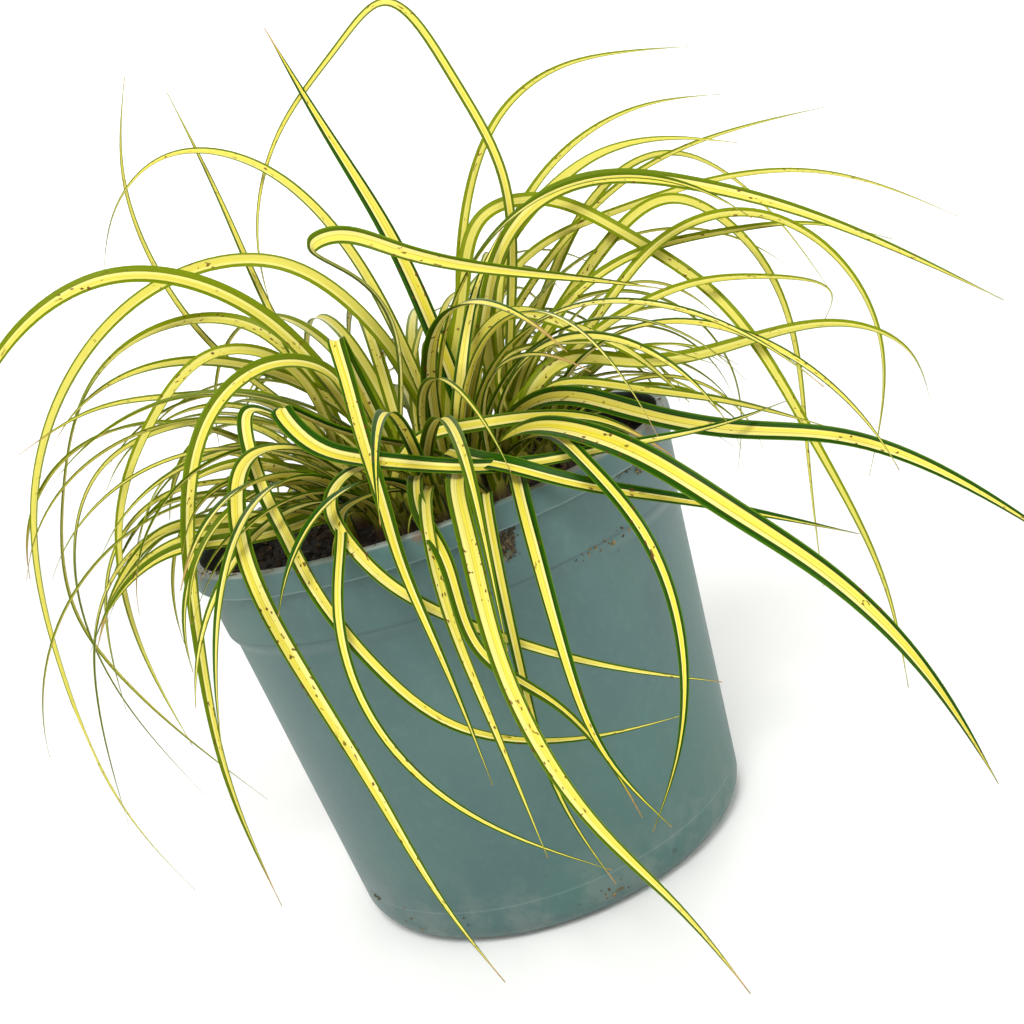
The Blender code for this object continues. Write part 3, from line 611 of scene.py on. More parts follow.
def placeTraced(root, width, face, twist, points, feet, blades, room, draw):
    # Tries the nearest tillers in turn, each with wider and wider pushes off the drawn path.
    near = np.argsort(np.hypot(*(feet - root).T), kind="stable")
    near = [int(tiller) for tiller in near if len(blades[tiller]) < tuft["mostBlades"]]
    near = near[:tuft["nearTillers"]]
    for attempt in range(tuft["tries"]):
        sway = draw.normal(0, 1, 3) * tuft["widestSway"] * attempt / tuft["tries"]
        for tiller in near[:1 + attempt // 12]:
            start = bladeStart(feet[tiller], len(blades[tiller]))
            blade = tracedBlade(start, width, face, twist, points, sway)
            corners = bladeCorners(blade)
            if room.isFree(corners, tiller, feet[tiller], tuft["tracedReach"]):
                room.take(corners, tiller)
                blades[tiller].append(blade)
                return True
    return False


def placeGrown(tiller, foot, blades, room, draw):
    # A blade that keeps finding no room is tried younger and younger.
    start = bladeStart(foot, len(blades[tiller]))
    for attempt in range(tuft["tries"]):
        blade = grownBlade(foot, start, 1 - tuft["youngest"] * attempt / tuft["tries"], draw)
        corners = bladeCorners(blade)
        reach = np.hypot(corners[:, 0, 0], corners[:, 0, 1]).max()
        if reach < tuft["widestReach"] and room.isFree(corners, tiller, foot, tuft["grownReach"]):
            room.take(corners, tiller)
            blades[tiller].append(blade)
            return True
    return False


# Thin young blades, for the scene alone, grown by the same rule in the air that is left

wispShape = {
    "seed": 8,
    "count": 46,
    "tries": 14,
    "growths": (0.3, 0.62),
    "widths": (0.9, 1.7),
    "joinedReach": 14.0,
}

# Hanging thin blades that the photograph shows: the foot, the width and the points passed through
drawnWisps = [
    ((26, -4), 1.5,
     [(46, -8, 133), (64, -9, 136), (76, -9, 128), (83, -10, 108), (84, -12, 88), (79, -14, 66)]),
    ((22, 2), 1.3, [(44, 1, 128), (62, 2, 130), (74, 2, 120), (79, 2, 104), (78, 1, 86)]),
    ((30, 6), 1.4, [(56, 12, 138), (74, 14, 142), (89, 15, 130), (95, 14, 108), (91, 12, 84)]),
    ((-26, 4), 1.3, [(-44, 4, 134), (-58, 2, 141), (-72, 0, 136), (-84, -2, 120)]),
]


def growWisps(feet, blades, leafy, room):
    look = wispShape
    draw = np.random.default_rng(look["seed"])
    wisps = []
    for root, width, points in drawnWisps:
        near = leafy[int(np.argmin(np.hypot(*(feet[leafy] - root).T)))]
        start = bladeStart(feet[near], len(blades[near]))
        blade = tracedBlade(start, width, viewer, 20, points, np.zeros(3))
        if room.isFree(bladeCorners(blade), near, feet[near], tuft["tracedReach"]):
            room.take(bladeCorners(blade), near)
            wisps.append(blade)
    for _ in range(look["count"]):
        tiller = leafy[int(draw.integers(len(leafy)))]
        start = bladeStart(feet[tiller], len(blades[tiller]))
        for _ in range(look["tries"]):
            blade = grownBlade(feet[tiller], start, draw.uniform(*look["growths"]), draw)
            blade["width"] = draw.uniform(*look["widths"])
            corners = bladeCorners(blade)
            if room.isFree(corners, tiller, feet[tiller], look["joinedReach"]):
                room.take(corners, tiller)
                wisps.append(blade)
                break
    return wisps


def growBlades():
    # The feet of the tillers, each one's blades, and the wisps between them. A blade that finds
    # no room is left out, and so is a tiller that holds none.
    feet = tillerFeet()
    room = Room()
    blades = [[] for _ in feet]
    for tiller, foot in enumerate(feet):
        room.take(sheathCorners(foot), tiller)
    draw = np.random.default_rng(tuft["seed"])
    for drawn in drawnBlades:
        placeTraced(*drawn, feet, blades, room, draw)
    grown = 0
    for turn in range(tuft["tillers"] * tuft["mostBlades"]):
        tiller = turn % tuft["tillers"]
        if grown < tuft["grownBlades"] and len(blades[tiller]) <= turn // tuft["tillers"]:
            grown += placeGrown(tiller, feet[tiller], blades, room, draw)
    leafy = [tiller for tiller in range(tuft["tillers"]) if blades[tiller]]
    return feet[leafy], [blades[tiller] for tiller in leafy], growWisps(feet, blades, leafy, room)


feet, blades, wisps = growBlades()
bladeCount = sum(len(held) for held in blades)
print("tuft grown:", len(feet), "tillers,", bladeCount, "blades,", len(wisps), "wisps")

# Blades, as fine closed strips that keep the solids' paths, widths and twists

bladeShape = {
    "seed": 4,
    "ringShare": 4.6,
    "ringRange": (26, 84),
    "foldDepth": 0.8,
    "edgeLift": 0.1,
    "edgeThickness": 0.12,
    "middleThickness": 0.14,
    "tipWidth": 0.24,
    "edgeBend": 0.75,
    "ease": 2.6,
    "upperPlaces": (-1, -0.8, -0.55, -0.28, 0, 0.28, 0.55, 0.8, 1),
    "lowerPlaces": (1, 0.66, 0.33, 0, -0.33, -0.66, -1),
}


def eased(path):
    # Hard bends turn rounder: each point becomes the mean of its neighbours, weighted by
    # exp(-d^2 / 2 ease^2) for the distance d along the path. The ends stay where they are.
    apart = np.linalg.norm(np.diff(path, axis=0), axis=1).mean() / bladeShape["ease"]
    reach = math.ceil(3 / apart)
    weight = np.exp(-((np.arange(-reach, reach + 1) * apart) ** 2) / 2)
    padded = np.pad(path, ((reach, reach), (0, 0)), "reflect", reflect_type="odd")
    lines = [np.convolve(padded[:, k], weight / weight.sum(), "valid") for k in range(3)]
    return np.stack(lines, axis=1)


def pinched(half, travelled, tangent, across):
    # A blade that bends hard towards its own edge is squeezed there, so that its inner edge
    # can't fold over itself: the share is 1 over (1 + (half times bend over limit)^4)^(1/4).
    bend = np.abs((np.gradient(tangent, travelled, axis=0) * across).sum(axis=1))
    bend = np.convolve(np.pad(bend, 2, "edge"), np.array([1, 2, 3, 2, 1]) / 9, "valid")
    return (1 + (half * bend / bladeShape["edgeBend"]) ** 4) ** -0.25


def bladeStrip(blade, traits):
    # Across place s from -1 to 1, the upper face lies at lift s^2 less fold (1 - |s|), and the
    # lower one a thickness below it. That section is carried along the path: path plus across
    # times s times half the width, plus normal times the height.
    look = bladeShape
    path, place = spreadRings(eased(blade["path"]), look["ringShare"], look["ringRange"])
    normal, tangent = carriedNormals(path, blade["face"], blade["twist"])
    across = np.cross(tangent, normal)
    travelled = runningSum(np.linalg.norm(np.diff(path, axis=0), axis=1))
    half = halfWidths(place, blade["width"], look["tipWidth"])
    half = half * pinched(half[:, 0], travelled, tangent, across)[:, None]
    slim = np.clip(half / 1.1, 0.12, 1)
    keel = (1 - 0.38 * place)[:, None] * slim
    upper = np.array(look["upperPlaces"], float)
    lower = np.array(look["lowerPlaces"], float)
    section = np.concatenate([upper, lower])
    inward = 1 - np.abs(section)
    lift = look["edgeLift"] * np.minimum(half, 2.6) * section**2
    height = lift - traits["fold"] * look["foldDepth"] * keel * inward
    thickness = (look["edgeThickness"] + look["middleThickness"] * inward**0.6) * keel
    height[:, len(upper):] -= thickness[:, len(upper):]
    points = path[:, None] + across[:, None] * (half * section)[..., None]
    points = points + normal[:, None] * height[..., None]
    low, high = np.array(solidBox) / mm
    points = np.clip(points, low + 0.02, high - 0.02)
    rings, around = len(path), len(section)
    sides = np.broadcast_to((section + 1) / 2, (rings, around))
    metres = np.broadcast_to(travelled[:, None] / 100, (rings, around))
    fromTip = np.broadcast_to((travelled[-1] - travelled)[:, None] / 100, (rings, around))
    shares = np.broadcast_to(place[:, None], (rings, around))
    flat = np.ones((rings, around))
    maps = {
        "strip": (sides, metres),
        "ends": (shares, fromTip),
        "habit": (flat * traits["tone"], flat * traits["margin"]),
        "age": (flat * traits["dryness"], flat * traits["draw"]),
    }
    pairs = {label: np.stack(two, axis=-1).reshape(-1, 2) for label, two in maps.items()}
    return points.reshape(-1, 3), pairs, rings, around


def bladeTraits(draw, blade):
    # Blades that hang outside, behind the front ones, are painted paler and more olive, and the tone differs
    # at random too. A few are drying.
    x, y, _ = blade["path"].mean(axis=0)
    away = np.clip((y + 45) / 40, 0, 1) * np.clip((math.hypot(x, y) - 15) / 45, 0, 1)
    return {
        "tone": float(np.clip(draw.normal(0.1, 0.13) + 0.85 * away, 0, 1)),
        "margin": float(draw.uniform(0, 1)),
        "dryness": float(draw.uniform(0, 1) ** 1.6),
        "draw": float(draw.uniform(0, 1)),
        "fold": float(draw.uniform(0.45, 1.0)),
    }


def joinStrips(strips):
    # Several strips as one mesh: their points in a row, with every face counted from its own start.
    points, faces = [], []
    pairs = {label: [] for label in strips[0][1]}
    start = 0
    for stripPoints, stripPairs, rings, around in strips:
        faces += tubeFaces(rings, around, start)
        points.append(stripPoints)
        for label in pairs:
            pairs[label].append(stripPairs[label])
        start += len(stripPoints)
    return np.concatenate(points), faces, [(label, np.concatenate(held)) for label, held in pairs.items()]


bladeColours = {
    "lemon": screenColour(204, 189, 20),
    "cream": screenColour(216, 208, 130),
    "gold": screenColour(188, 182, 84),
    "margin": screenColour(40, 84, 0),
    "deepMargin": screenColour(14, 44, 0),
    "darkLine": screenColour(8, 22, 0),
    "edgeHighlight": screenColour(104, 134, 12),
    "youngGreen": screenColour(116, 126, 4),
    "line": screenColour(146, 122, 6),
    "tip": screenColour(166, 132, 82),
    "spot": screenColour(84, 50, 20),
    "stripeHalf": 0.58,
    "roughness": 0.42,
}


def bladeFinish():
    # Everything is painted across and along the strip by its own UV maps.
    look = bladeColours
    paint = Paint("sedgeBlade")
    side, metres = paint.uvPair("strip")
    share, fromTip = paint.uvPair("ends")
    tone, margin = paint.uvPair("habit")
    dryness, chance = paint.uvPair("age")

    # How far each spot is from the middle of the yellow stripe, which lies off the midrib, and
    # where the green margin starts.
    signed = paint.timesPlus(side, 2.0, -1.0)
    offCentre = paint.distance(signed, paint.timesPlus(chance, 0.36, -0.18))
    seedPlace = paint.times(chance, 61.0)
    wander = paint.noise(paint.combine(seedPlace, metres, 0.0), 4.0, 0.0)
    streaks = paint.noise(paint.combine(paint.times(signed, 7.0), metres, seedPlace), 1.6, 1.0)
    fineStreaks = paint.noise(paint.combine(paint.times(signed, 22.0), metres, seedPlace), 1.3, 1.0)
    start = paint.timesPlus(wander, 0.16, paint.timesPlus(margin, -0.26, look["stripeHalf"]))
    start = paint.timesPlus(paint.fall(fromTip, 0.0, 0.5), -0.22, start)
    greenFrom = paint.calculate("ADD", start, 0.05)

    # The stripe: lemon in the middle, cream beside it, and thin lines.
    # Painted light on the fold: one half is painted deeper lemon as if lit, the other stays paler cream.
    litSide = paint.times(signed, paint.timesPlus(chance, 40.0, -20.0))
    lemon = paint.times(paint.fall(offCentre, 0.1, start), 0.4)
    lemon = paint.timesPlus(paint.rise(litSide, -0.6, 0.6), 0.5, lemon)
    lemon = paint.times(lemon, paint.rise(streaks, 0.15, 0.55))
    paint.colour = paint.blend(lemon, look["cream"], look["lemon"])
    paint.layer(paint.rise(fineStreaks, 0.55, 0.66), 0.4, look["line"])
    paint.layer(paint.band(signed, 0.0, 0.06), 0.75, look["line"])
    paint.layer(tone, 0.7, look["gold"])
    heart = paint.colour

    # The margins: deep green, darkest where they meet the stripe, with a painted highlight at the very edge.
    paint.colour = paint.blend(paint.rise(fineStreaks, 0.35, 0.65), look["margin"], look["deepMargin"])
    paint.layer(tone, 0.9, look["youngGreen"])
    # A painted highlight: lighter green along each edge of the blade.
    paint.layer(paint.rise(paint.calculate("ABSOLUTE", signed), 0.84, 0.98), 0.6, look["edgeHighlight"])
    paint.colour = paint.blend(paint.rise(offCentre, start, greenFrom), heart, paint.colour)
    line = paint.band(offCentre, greenFrom, 0.09)
    paint.layer(line, paint.timesPlus(tone, -0.85, 0.9), look["darkLine"])

    # Green at the foot, dry at the tip, and small brown spots.
    paint.layer(paint.fall(share, 0.03, 0.22), 0.6, look["youngGreen"])
    dryEnd = paint.timesPlus(paint.calculate("POWER", dryness, 3.0), 0.2, 0.01)
    paint.layer(paint.fall(fromTip, paint.times(dryEnd, 0.3), dryEnd), 0.8, look["tip"])
    spotPlace = paint.combine(paint.times(signed, 2.4), paint.times(metres, 60.0), seedPlace)
    spots = paint.rise(paint.noise(spotPlace, 1.1, 0.0), 0.71, 0.74)
    paint.layer(spots, paint.times(paint.rise(wander, 0.5, 0.62), 0.9), look["spot"])
    return paint.finish(paint.timesPlus(streaks, 0.2, look["roughness"] - 0.1), 0.07)


# Sheaths: rolled leaf bases round the foot of each tiller

sheathShape = {
    "sides": 24,
    "rows": 16,
    "ridge": 0.12,
    "radii": (3.0, 2.75, 2.2),
    "raggedTop": 2.4,
    "wall": 0.25,
}


def sheathPoints(foot, height, seed):
    # A tube whose radius follows three named radii with small upright ridges, r = r(z) + ridge
    # cos(7a), its top torn into a wavy edge, and closed by turning in and down the inside.
    look = sheathShape
    bottom, top = height
    angle = aroundAngles(look["sides"])
    climb = np.linspace(0, 1, look["rows"])[:, None]
    radius = np.interp(climb, (0, 0.5, 1), look["radii"])
    ragged = look["raggedTop"] * (0.5 + 0.5 * np.sin(2 * angle + seed)) * climb**4
    z = bottom + (top - bottom) * climb - ragged
    radius = radius + look["ridge"] * np.cos(7 * angle + seed)
    z = np.broadcast_to(z, radius.shape)
    outside = np.stack([radius * np.cos(angle), radius * np.sin(angle), z], axis=-1)
    inside = outside[:-6:-1].copy()
    inside[..., :2] *= 1 - look["wall"] / look["radii"][2]
    inside[..., 2] -= 0.1
    return np.concatenate([outside, inside]) + (foot[0], foot[1], 0)


def sheathFinish():
    # Upright stripes of yellow and green from the strip map, brown and fibrous at the soil.
    paint = Paint("sedgeSheath")
    _, x, _, z = paint.objectPlace()
    side, climb = paint.uvPair("strip")
    fibres = paint.noise(paint.combine(paint.times(side, 6.0), climb, paint.times(x, 90.0)), 3.0)
    yellows = screenColour(112, 120, 8), screenColour(150, 140, 24)
    paint.colour = paint.blend(paint.rise(fibres, 0.35, 0.65), *yellows)
    paint.layer(paint.rise(side, 0.62, 0.74), 1.0, screenColour(28, 58, 0))
    brown = paint.fall(z, 0.1075, 0.1125)
    paint.layer(brown, paint.rise(fibres, 0.2, 0.5), screenColour(66, 42, 24))
    paint.bump(fibres, 0.0002, 0.6)
    return paint.finish(0.6)


def makeTillers(leaf):
    # One piece for each tiller's node: its sheath and its blades.
    draw = np.random.default_rng(bladeShape["seed"])
    sheath = sheathFinish()
    for number, (foot, held) in enumerate(zip(feet, blades), start=1):
        points, faces, maps = joinStrips([bladeStrip(blade, bladeTraits(draw, blade)) for blade in held])
        grid = sheathPoints(foot, (tuft["sheathBottom"] + 0.2, tuft["sheathTop"]), number)
        rows, sides = grid.shape[:2]
        tube = tubeFaces(rows, sides, len(points))
        stripe = np.abs((np.arange(sides) / 6) % 2 - 1)
        around = np.column_stack([np.tile(stripe, rows), np.repeat(np.arange(rows) / rows, sides)])
        blank = np.zeros((rows * sides, 2))
        added = {"strip": around}
        maps = [(label, np.concatenate([pairs, added.get(label, blank)])) for label, pairs in maps]
        points = np.concatenate([points, grid.reshape(-1, 3)])
        piece = meshFrom(f"tiller{number:02d}Leaves", points, faces + tube, leaf, maps)
        piece.data.materials.append(sheath)
        kind = np.repeat([0, 1], [len(faces), len(tube)]).astype(np.int32)
        piece.data.polygons.foreach_set("material_index", kind)
        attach(piece, "root")
        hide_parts(f"tiller_{number:02d}")


def makeWisps(leaf):
    draw = np.random.default_rng(bladeShape["seed"] + 1)
    strips = []
    for blade in wisps:
        traits = bladeTraits(draw, blade)
        traits["tone"] = min(1.0, traits["tone"] + 0.35)
        strips.append(bladeStrip(blade, traits))
    points, faces, maps = joinStrips(strips)
    piece = meshFrom("youngWisps", points, faces, leaf, maps)
    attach(piece, "root")


bladeLook = bladeFinish()
makeTillers(bladeLook)
makeWisps(bladeLook)
print("tillers dressed")

# The pot: one turned wall with a lip, a band, a shoulder step and a recessed underside

potShape = {
    "sides": 224,
    "lipRadius": 70.0,
    "lipDepth": 6.4,
    "lipRound": 0.7,
    "bandRadius": 68.2,
    "shoulderRadius": 67.0,
    "shoulderHeight": 94.5,
    "bodyTopRadius": 65.3,
    "bodyTopHeight": 90.5,
    "baseRadius": 58.2,
    "baseRound": 8.0,
    "wall": 1.5,
    "floor": 2.4,
    "recessRadii": (26.0, 47.0),
    "recessHeight": 1.2,
    "drainHoles": 8,
    "drainRadius": 3.5,
    "drainSides": 32,
    "drainCircle": 36.0,
}


def roundCorner(centre, radius, start, end, steps):
    # An arc: the centre plus radius times (cos a, sin a), for a from start to end in degrees.
    angle = np.radians(np.linspace(start, end, steps))
    return list(zip(centre[0] + radius * np.cos(angle), centre[1] + radius * np.sin(angle)))


def between(start, end, along, up):
    # The point that lies these shares of the way across and up from start to end.
    return start[0] + (end[0] - start[0]) * along, start[1] + (end[1] - start[1]) * up


def wallLine(inset, floor):
    # The side from under the lip to the foot, drawn as a line, a soft step and a round foot.
    look = potShape
    top = (look["bandRadius"] - inset, tuft["potHeight"] - look["lipDepth"])
    shoulder = (look["shoulderRadius"] - inset, look["shoulderHeight"])
    bodyTop = (look["bodyTopRadius"] - inset, look["bodyTopHeight"])
    foot = (look["baseRadius"] - inset, look["baseRound"] + floor)
    line = [between(top, shoulder, t, t) for t in (0, 0.5, 0.95)]
    line += [between(shoulder, bodyTop, t * t * (3 - 2 * t), t) for t in (0.15, 0.35, 0.5, 0.65, 0.85, 1)]
    line += [between(bodyTop, foot, t, t) for t in (0.02, 0.3, 0.7)]
    centre = (foot[0] - look["baseRound"], foot[1])
    return line + roundCorner(centre, look["baseRound"], 0, -90, 9)


# The pot's colours in metres and screen colours: plastic, wear, dust, soil marks, painted shade
# and a painted highlight. A mark is a height, half its width, a strength and a colour.
potColours = {
    "plastic": (screenColour(62, 91, 90), screenColour(71, 101, 97)),
    "teal": screenColour(57, 96, 86),
    "worn": screenColour(130, 150, 146),
    "marks": (
        # Painted shade along the shoulder step.
        (0.0947, 0.0006, 0.55, screenColour(48, 66, 70)),
        # A painted highlight along the lip's lower edge.
        (0.1089, 0.0004, 0.3, screenColour(140, 158, 154)),
        (0.0118, 0.0004, 0.25, screenColour(140, 158, 160)),
    ),
    "rimDust": screenColour(146, 148, 136),
    "soilMark": screenColour(104, 78, 52),
    "speck": screenColour(44, 50, 46),
    "lowShade": screenColour(46, 76, 72),
    "footDust": screenColour(126, 128, 122),
    "innerWallShade": screenColour(30, 24, 20),
}


def potFinish():
    look = potColours
    paint = Paint("potPlastic")
    where, x, y, z = paint.objectPlace()
    clouds = paint.noise(where, 26.0, 4.0)
    fine = paint.noise(where, 420.0)
    stain = paint.noise(where, 95.0, 4.0, 0.65)
    paint.colour = paint.blend(paint.rise(clouds, 0.35, 0.68), *look["plastic"])
    paint.layer(paint.rise(paint.noise(where, 14.0, 2.0), 0.45, 0.7), 0.5, look["teal"])
    paint.layer(paint.rise(fine, 0.5, 0.75), 0.05, look["worn"])
    # Thin bands round the pot: painted shade at the shoulder step, a painted highlight under the lip, and a
    # lighter line near the foot.
    for height, halfWidth, strength, colour in look["marks"]:
        paint.layer(paint.band(z, height, halfWidth), strength, colour)

    # Dust on the rim, soil marks under it, and specks near the shoulder and the foot.
    dust = paint.times(paint.rise(z, 0.1141, 0.1149), paint.rise(clouds, 0.25, 0.6))
    paint.layer(dust, 0.75, look["rimDust"])
    marked = paint.times(paint.rise(stain, 0.6, 0.7), paint.rise(z, 0.1065, 0.1145))
    paint.layer(marked, 0.7, look["soilMark"])
    near = paint.calculate("ADD", paint.band(z, 0.094, 0.011), paint.band(z, 0.012, 0.012))
    specks = paint.rise(paint.noise(where, 330.0, 2.0), 0.71, 0.76)
    paint.layer(paint.times(specks, paint.timesPlus(near, 0.8, 0.2)), 0.75, look["speck"])
    paint.layer(paint.fall(z, -0.02, 0.1), 0.35, look["lowShade"])
    paint.layer(paint.times(paint.fall(z, 0.0, 0.03), paint.rise(stain, 0.42, 0.62)), 0.3, look["footDust"])

    # Painted shade darkens the inner wall above the soil, up to an uneven line.
    inner = paint.fall(paint.calculate("SQRT", paint.axisSquared(x, y)), 0.0669, 0.0672)
    shadeTop = paint.timesPlus(stain, 0.006, 0.1105)
    innerShade = paint.fall(z, shadeTop, paint.calculate("ADD", shadeTop, 0.001))
    innerShade = paint.times(inner, paint.times(innerShade, paint.rise(z, 0.098, 0.1)))
    paint.layer(innerShade, 0.9, look["innerWallShade"])
    paint.bump(fine, 0.00008, 0.35)
    return paint.finish(paint.timesPlus(clouds, 0.25, 0.33), 0.45)


def makePot():
    # The closed outline is turned, and round drain holes are cut through the floor.
    look = potShape
    height = tuft["potHeight"]
    corner = look["lipRound"]
    lip = [(look["bandRadius"] - look["wall"] + 0.2, height - 0.1)]
    lip.append((look["bandRadius"] - look["wall"] + 0.5, height))
    lip += roundCorner((look["lipRadius"] - corner, height - corner), corner, 90, 0, 5)
    lip += [(look["lipRadius"], height - 3), (look["lipRadius"], height - look["lipDepth"] + 0.4)]
    lip.append((look["lipRadius"] - 0.4, height - look["lipDepth"]))
    recessIn, recessOut = look["recessRadii"]
    deep = look["recessHeight"]
    under = [(recessOut, 0), (recessOut - 0.3, deep), (recessIn + 0.3, deep), (recessIn, 0), (0.001, 0)]
    inside = [(0.001, look["floor"])] + wallLine(look["wall"], look["floor"])[::-1]
    profile = lip + wallLine(0, 0) + under + inside
    grid = turnedPoints(profile[::-1], look["sides"])
    grid = np.concatenate([grid, grid[:1]])
    pot = meshFrom("potWall", grid.reshape(-1, 3), gridFaces(*grid.shape[:2]).tolist(), potFinish())
    shape = bmesh.new()
    shape.from_mesh(pot.data)
    bmesh.ops.remove_doubles(shape, verts=shape.verts, dist=0.000004)
    bmesh.ops.recalc_face_normals(shape, faces=shape.faces)
    shape.to_mesh(pot.data)
    shape.free()
    for hole in range(look["drainHoles"]):
        angle = 2 * math.pi * (hole + 0.5) / look["drainHoles"]
        spot = (look["drainCircle"] * math.cos(angle), look["drainCircle"] * math.sin(angle))
        sides = look["drainSides"]
        ends = [(look["drainRadius"], -2), (look["drainRadius"], look["floor"] + 2)]
        bore = turnedPoints(ends, sides) + (*spot, 0)
        cutter = meshFrom("bore", bore.reshape(-1, 3), tubeFaces(2, sides), pot.data.materials[0])
        cut = pot.modifiers.new("drain", "BOOLEAN")
        cut.operation = "DIFFERENCE"
        cut.object = cutter
        bpy.context.view_layer.objects.active = pot
        bpy.ops.object.modifier_apply(modifier=cut.name)
        bpy.data.objects.remove(cutter)
    pot.data.shade_smooth()
    pot.data.set_sharp_from_angle(angle=math.radians(38))
    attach(pot, "root")
    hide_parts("pot")


makePot()
print("pot turned")

# Soil: a rough dark disc, with loose crumbs on it and a few that stick to the pot

soilShape = {
    "seed": 21,
    "rings": 120,
    "sides": 420,
    "edgeHeight": 105.0,
    "middleHeight": 106.6,
    "edgeRadius": 66.3,
    "levelRadius": 40.0,
    "slopeWidth": 26.0,
    "gap": 0.35,
    "sideTop": 102.5,
    "lumps": ((0.55, 7.0, 31), (0.4, 2.6, 32), (0.28, 1.1, 33)),
    "crumbs": 1500,
    "crumbSizes": (0.35, 1.7),
    "crumbReach": 65.3,
    "rimCrumbs": 110,
    "rimCrumbRadii": (67.2, 69.2),
    "rimCrumbHeight": 114.95,
    "peat": (screenColour(16, 12, 10), screenColour(44, 31, 24)),
    "peatGrain": screenColour(92, 66, 46),
    "wet": (screenColour(24, 18, 14), screenColour(74, 54, 36)),
    "bright": screenColour(150, 118, 84),
    "dry": (screenColour(58, 48, 30), screenColour(112, 96, 60)),
    "fibre": screenColour(160, 142, 98),
}


def soilFinish():
    look = soilShape
    paint = Paint("peatSoil")
    where = paint.objectPlace()[0]
    grain = paint.noise(where, 900.0, 4.0, 0.6)
    paint.colour = paint.blend(paint.rise(paint.noise(where, 190.0), 0.35, 0.7), *look["peat"])
    paint.layer(paint.rise(grain, 0.6, 0.72), 0.7, look["peatGrain"])
    paint.bump(grain, 0.0006, 0.9)
    return paint.finish(0.92)


def crumbFinish(name, pair, bright):
    paint = Paint(name)
    where = paint.objectPlace()[0]
    grain = paint.noise(where, 520.0, 3.0, 0.6)
    paint.colour = paint.blend(paint.rise(paint.noise(where, 150.0, 1.0), 0.42, 0.6), *pair)
    paint.layer(paint.rise(grain, 0.5, 0.7), 0.5, bright)
    paint.bump(grain, 0.0003, 0.7)
    return paint.finish(0.85)


def bedHeight(radius):
    # The mound is level in the middle and falls with the square of the way to the wall.
    look = soilShape
    away = np.clip((radius - look["levelRadius"]) / look["slopeWidth"], 0, 1)
    return look["middleHeight"] - (look["middleHeight"] - look["edgeHeight"]) * away**2


def makeSoil():
    # A polar grid whose height is a mound plus noise at three sizes. Its rim turns down into the
    # pot, and a flat underside closes it.
    look = soilShape
    share = np.linspace(0.0004, 1, look["rings"])
    angle = aroundAngles(look["sides"])
    radius = look["edgeRadius"] * share[:, None]
    x, y = radius * np.cos(angle), radius * np.sin(angle)
    flat = np.stack([x, y, np.zeros_like(x)], axis=-1)
    rough = sum(strength * lump(flat, size, seed) for strength, size, seed in look["lumps"])
    z = bedHeight(radius) - 0.5 + rough * np.clip((look["edgeRadius"] - radius) / 4 + 0.35, 0, 1)
    top = np.stack([x, y, z], axis=-1)
    floor = potShape["floor"] + look["gap"]
    side = [point for point in wallLine(potShape["wall"] + look["gap"], floor) if point[1] < look["sideTop"]]
    lower = turnedPoints(side + [(0.03, floor)], look["sides"])
    grid = np.concatenate([top, lower])[::-1]
    soil = meshFrom("soilBed", grid.reshape(-1, 3), tubeFaces(*grid.shape[:2]), soilFinish())
    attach(soil, "root")
    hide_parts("soil")


def crumbPoints(middles, sizes, stretches, draw):
    # Each crumb is a ball of 3 rings of 5 points and 2 poles, squashed and dented at random and
    # turned any way: middle plus turn times (size times dented direction).
    rows = np.radians([-45.0, 0.0, 45.0])
    angle = np.arange(5) * 2 * math.pi / 5
    ball = [(0, 0, -1)]
    for number, row in enumerate(rows):
        for a in angle + 0.63 * number:
            ball.append((math.cos(row) * math.cos(a), math.cos(row) * math.sin(a), math.sin(row)))
    ball = np.array(ball + [(0, 0, 1)])
    faces = [(0, 1 + (i + 1) % 5, 1 + i) for i in range(5)]
    faces += [(16, 11 + i, 11 + (i + 1) % 5) for i in range(5)]
    for ring in (1, 6):
        for i in range(5):
            faces.append((ring + i, ring + (i + 1) % 5, ring + 5 + i))
            faces.append((ring + (i + 1) % 5, ring + 5 + (i + 1) % 5, ring + 5 + i))
    count = len(middles)
    dent = draw.uniform(0.65, 1.2, (count, len(ball), 1))
    stretch = draw.uniform(*stretches, (count, 1, 3))
    turn, _ = np.linalg.qr(draw.normal(0, 1, (count, 3, 3)))
    turn *= np.sign(np.linalg.det(turn))[:, None, None]
    shapes = np.einsum("nij,nkj->nki", turn, ball[None] * dent * stretch) * sizes[:, None, None]
    points = (shapes + middles[:, None]).reshape(-1, 3)
    allFaces = (np.array(faces)[None] + (np.arange(count) * len(ball))[:, None, None]).reshape(-1, 3)
    return points, allFaces.tolist()


# Spots of soil that stick to the pot: height, bearing in degrees, spread along, spread up, count
stuckSoil = [
    (105.4, -77.5, 1.3, 1.9, 300),
    (108.3, -46, 2.4, 0.5, 26),
    (106.4, -41, 1.0, 0.9, 10),
    (94.4, -55, 4.0, 1.0, 16),
    (94.3, -62, 2.0, 0.6, 6),
    (12.4, -152, 1.8, 1.0, 9),
    (6.6, -78, 5.0, 0.8, 18),
    (9.0, -130, 9.0, 3.0, 10),
]


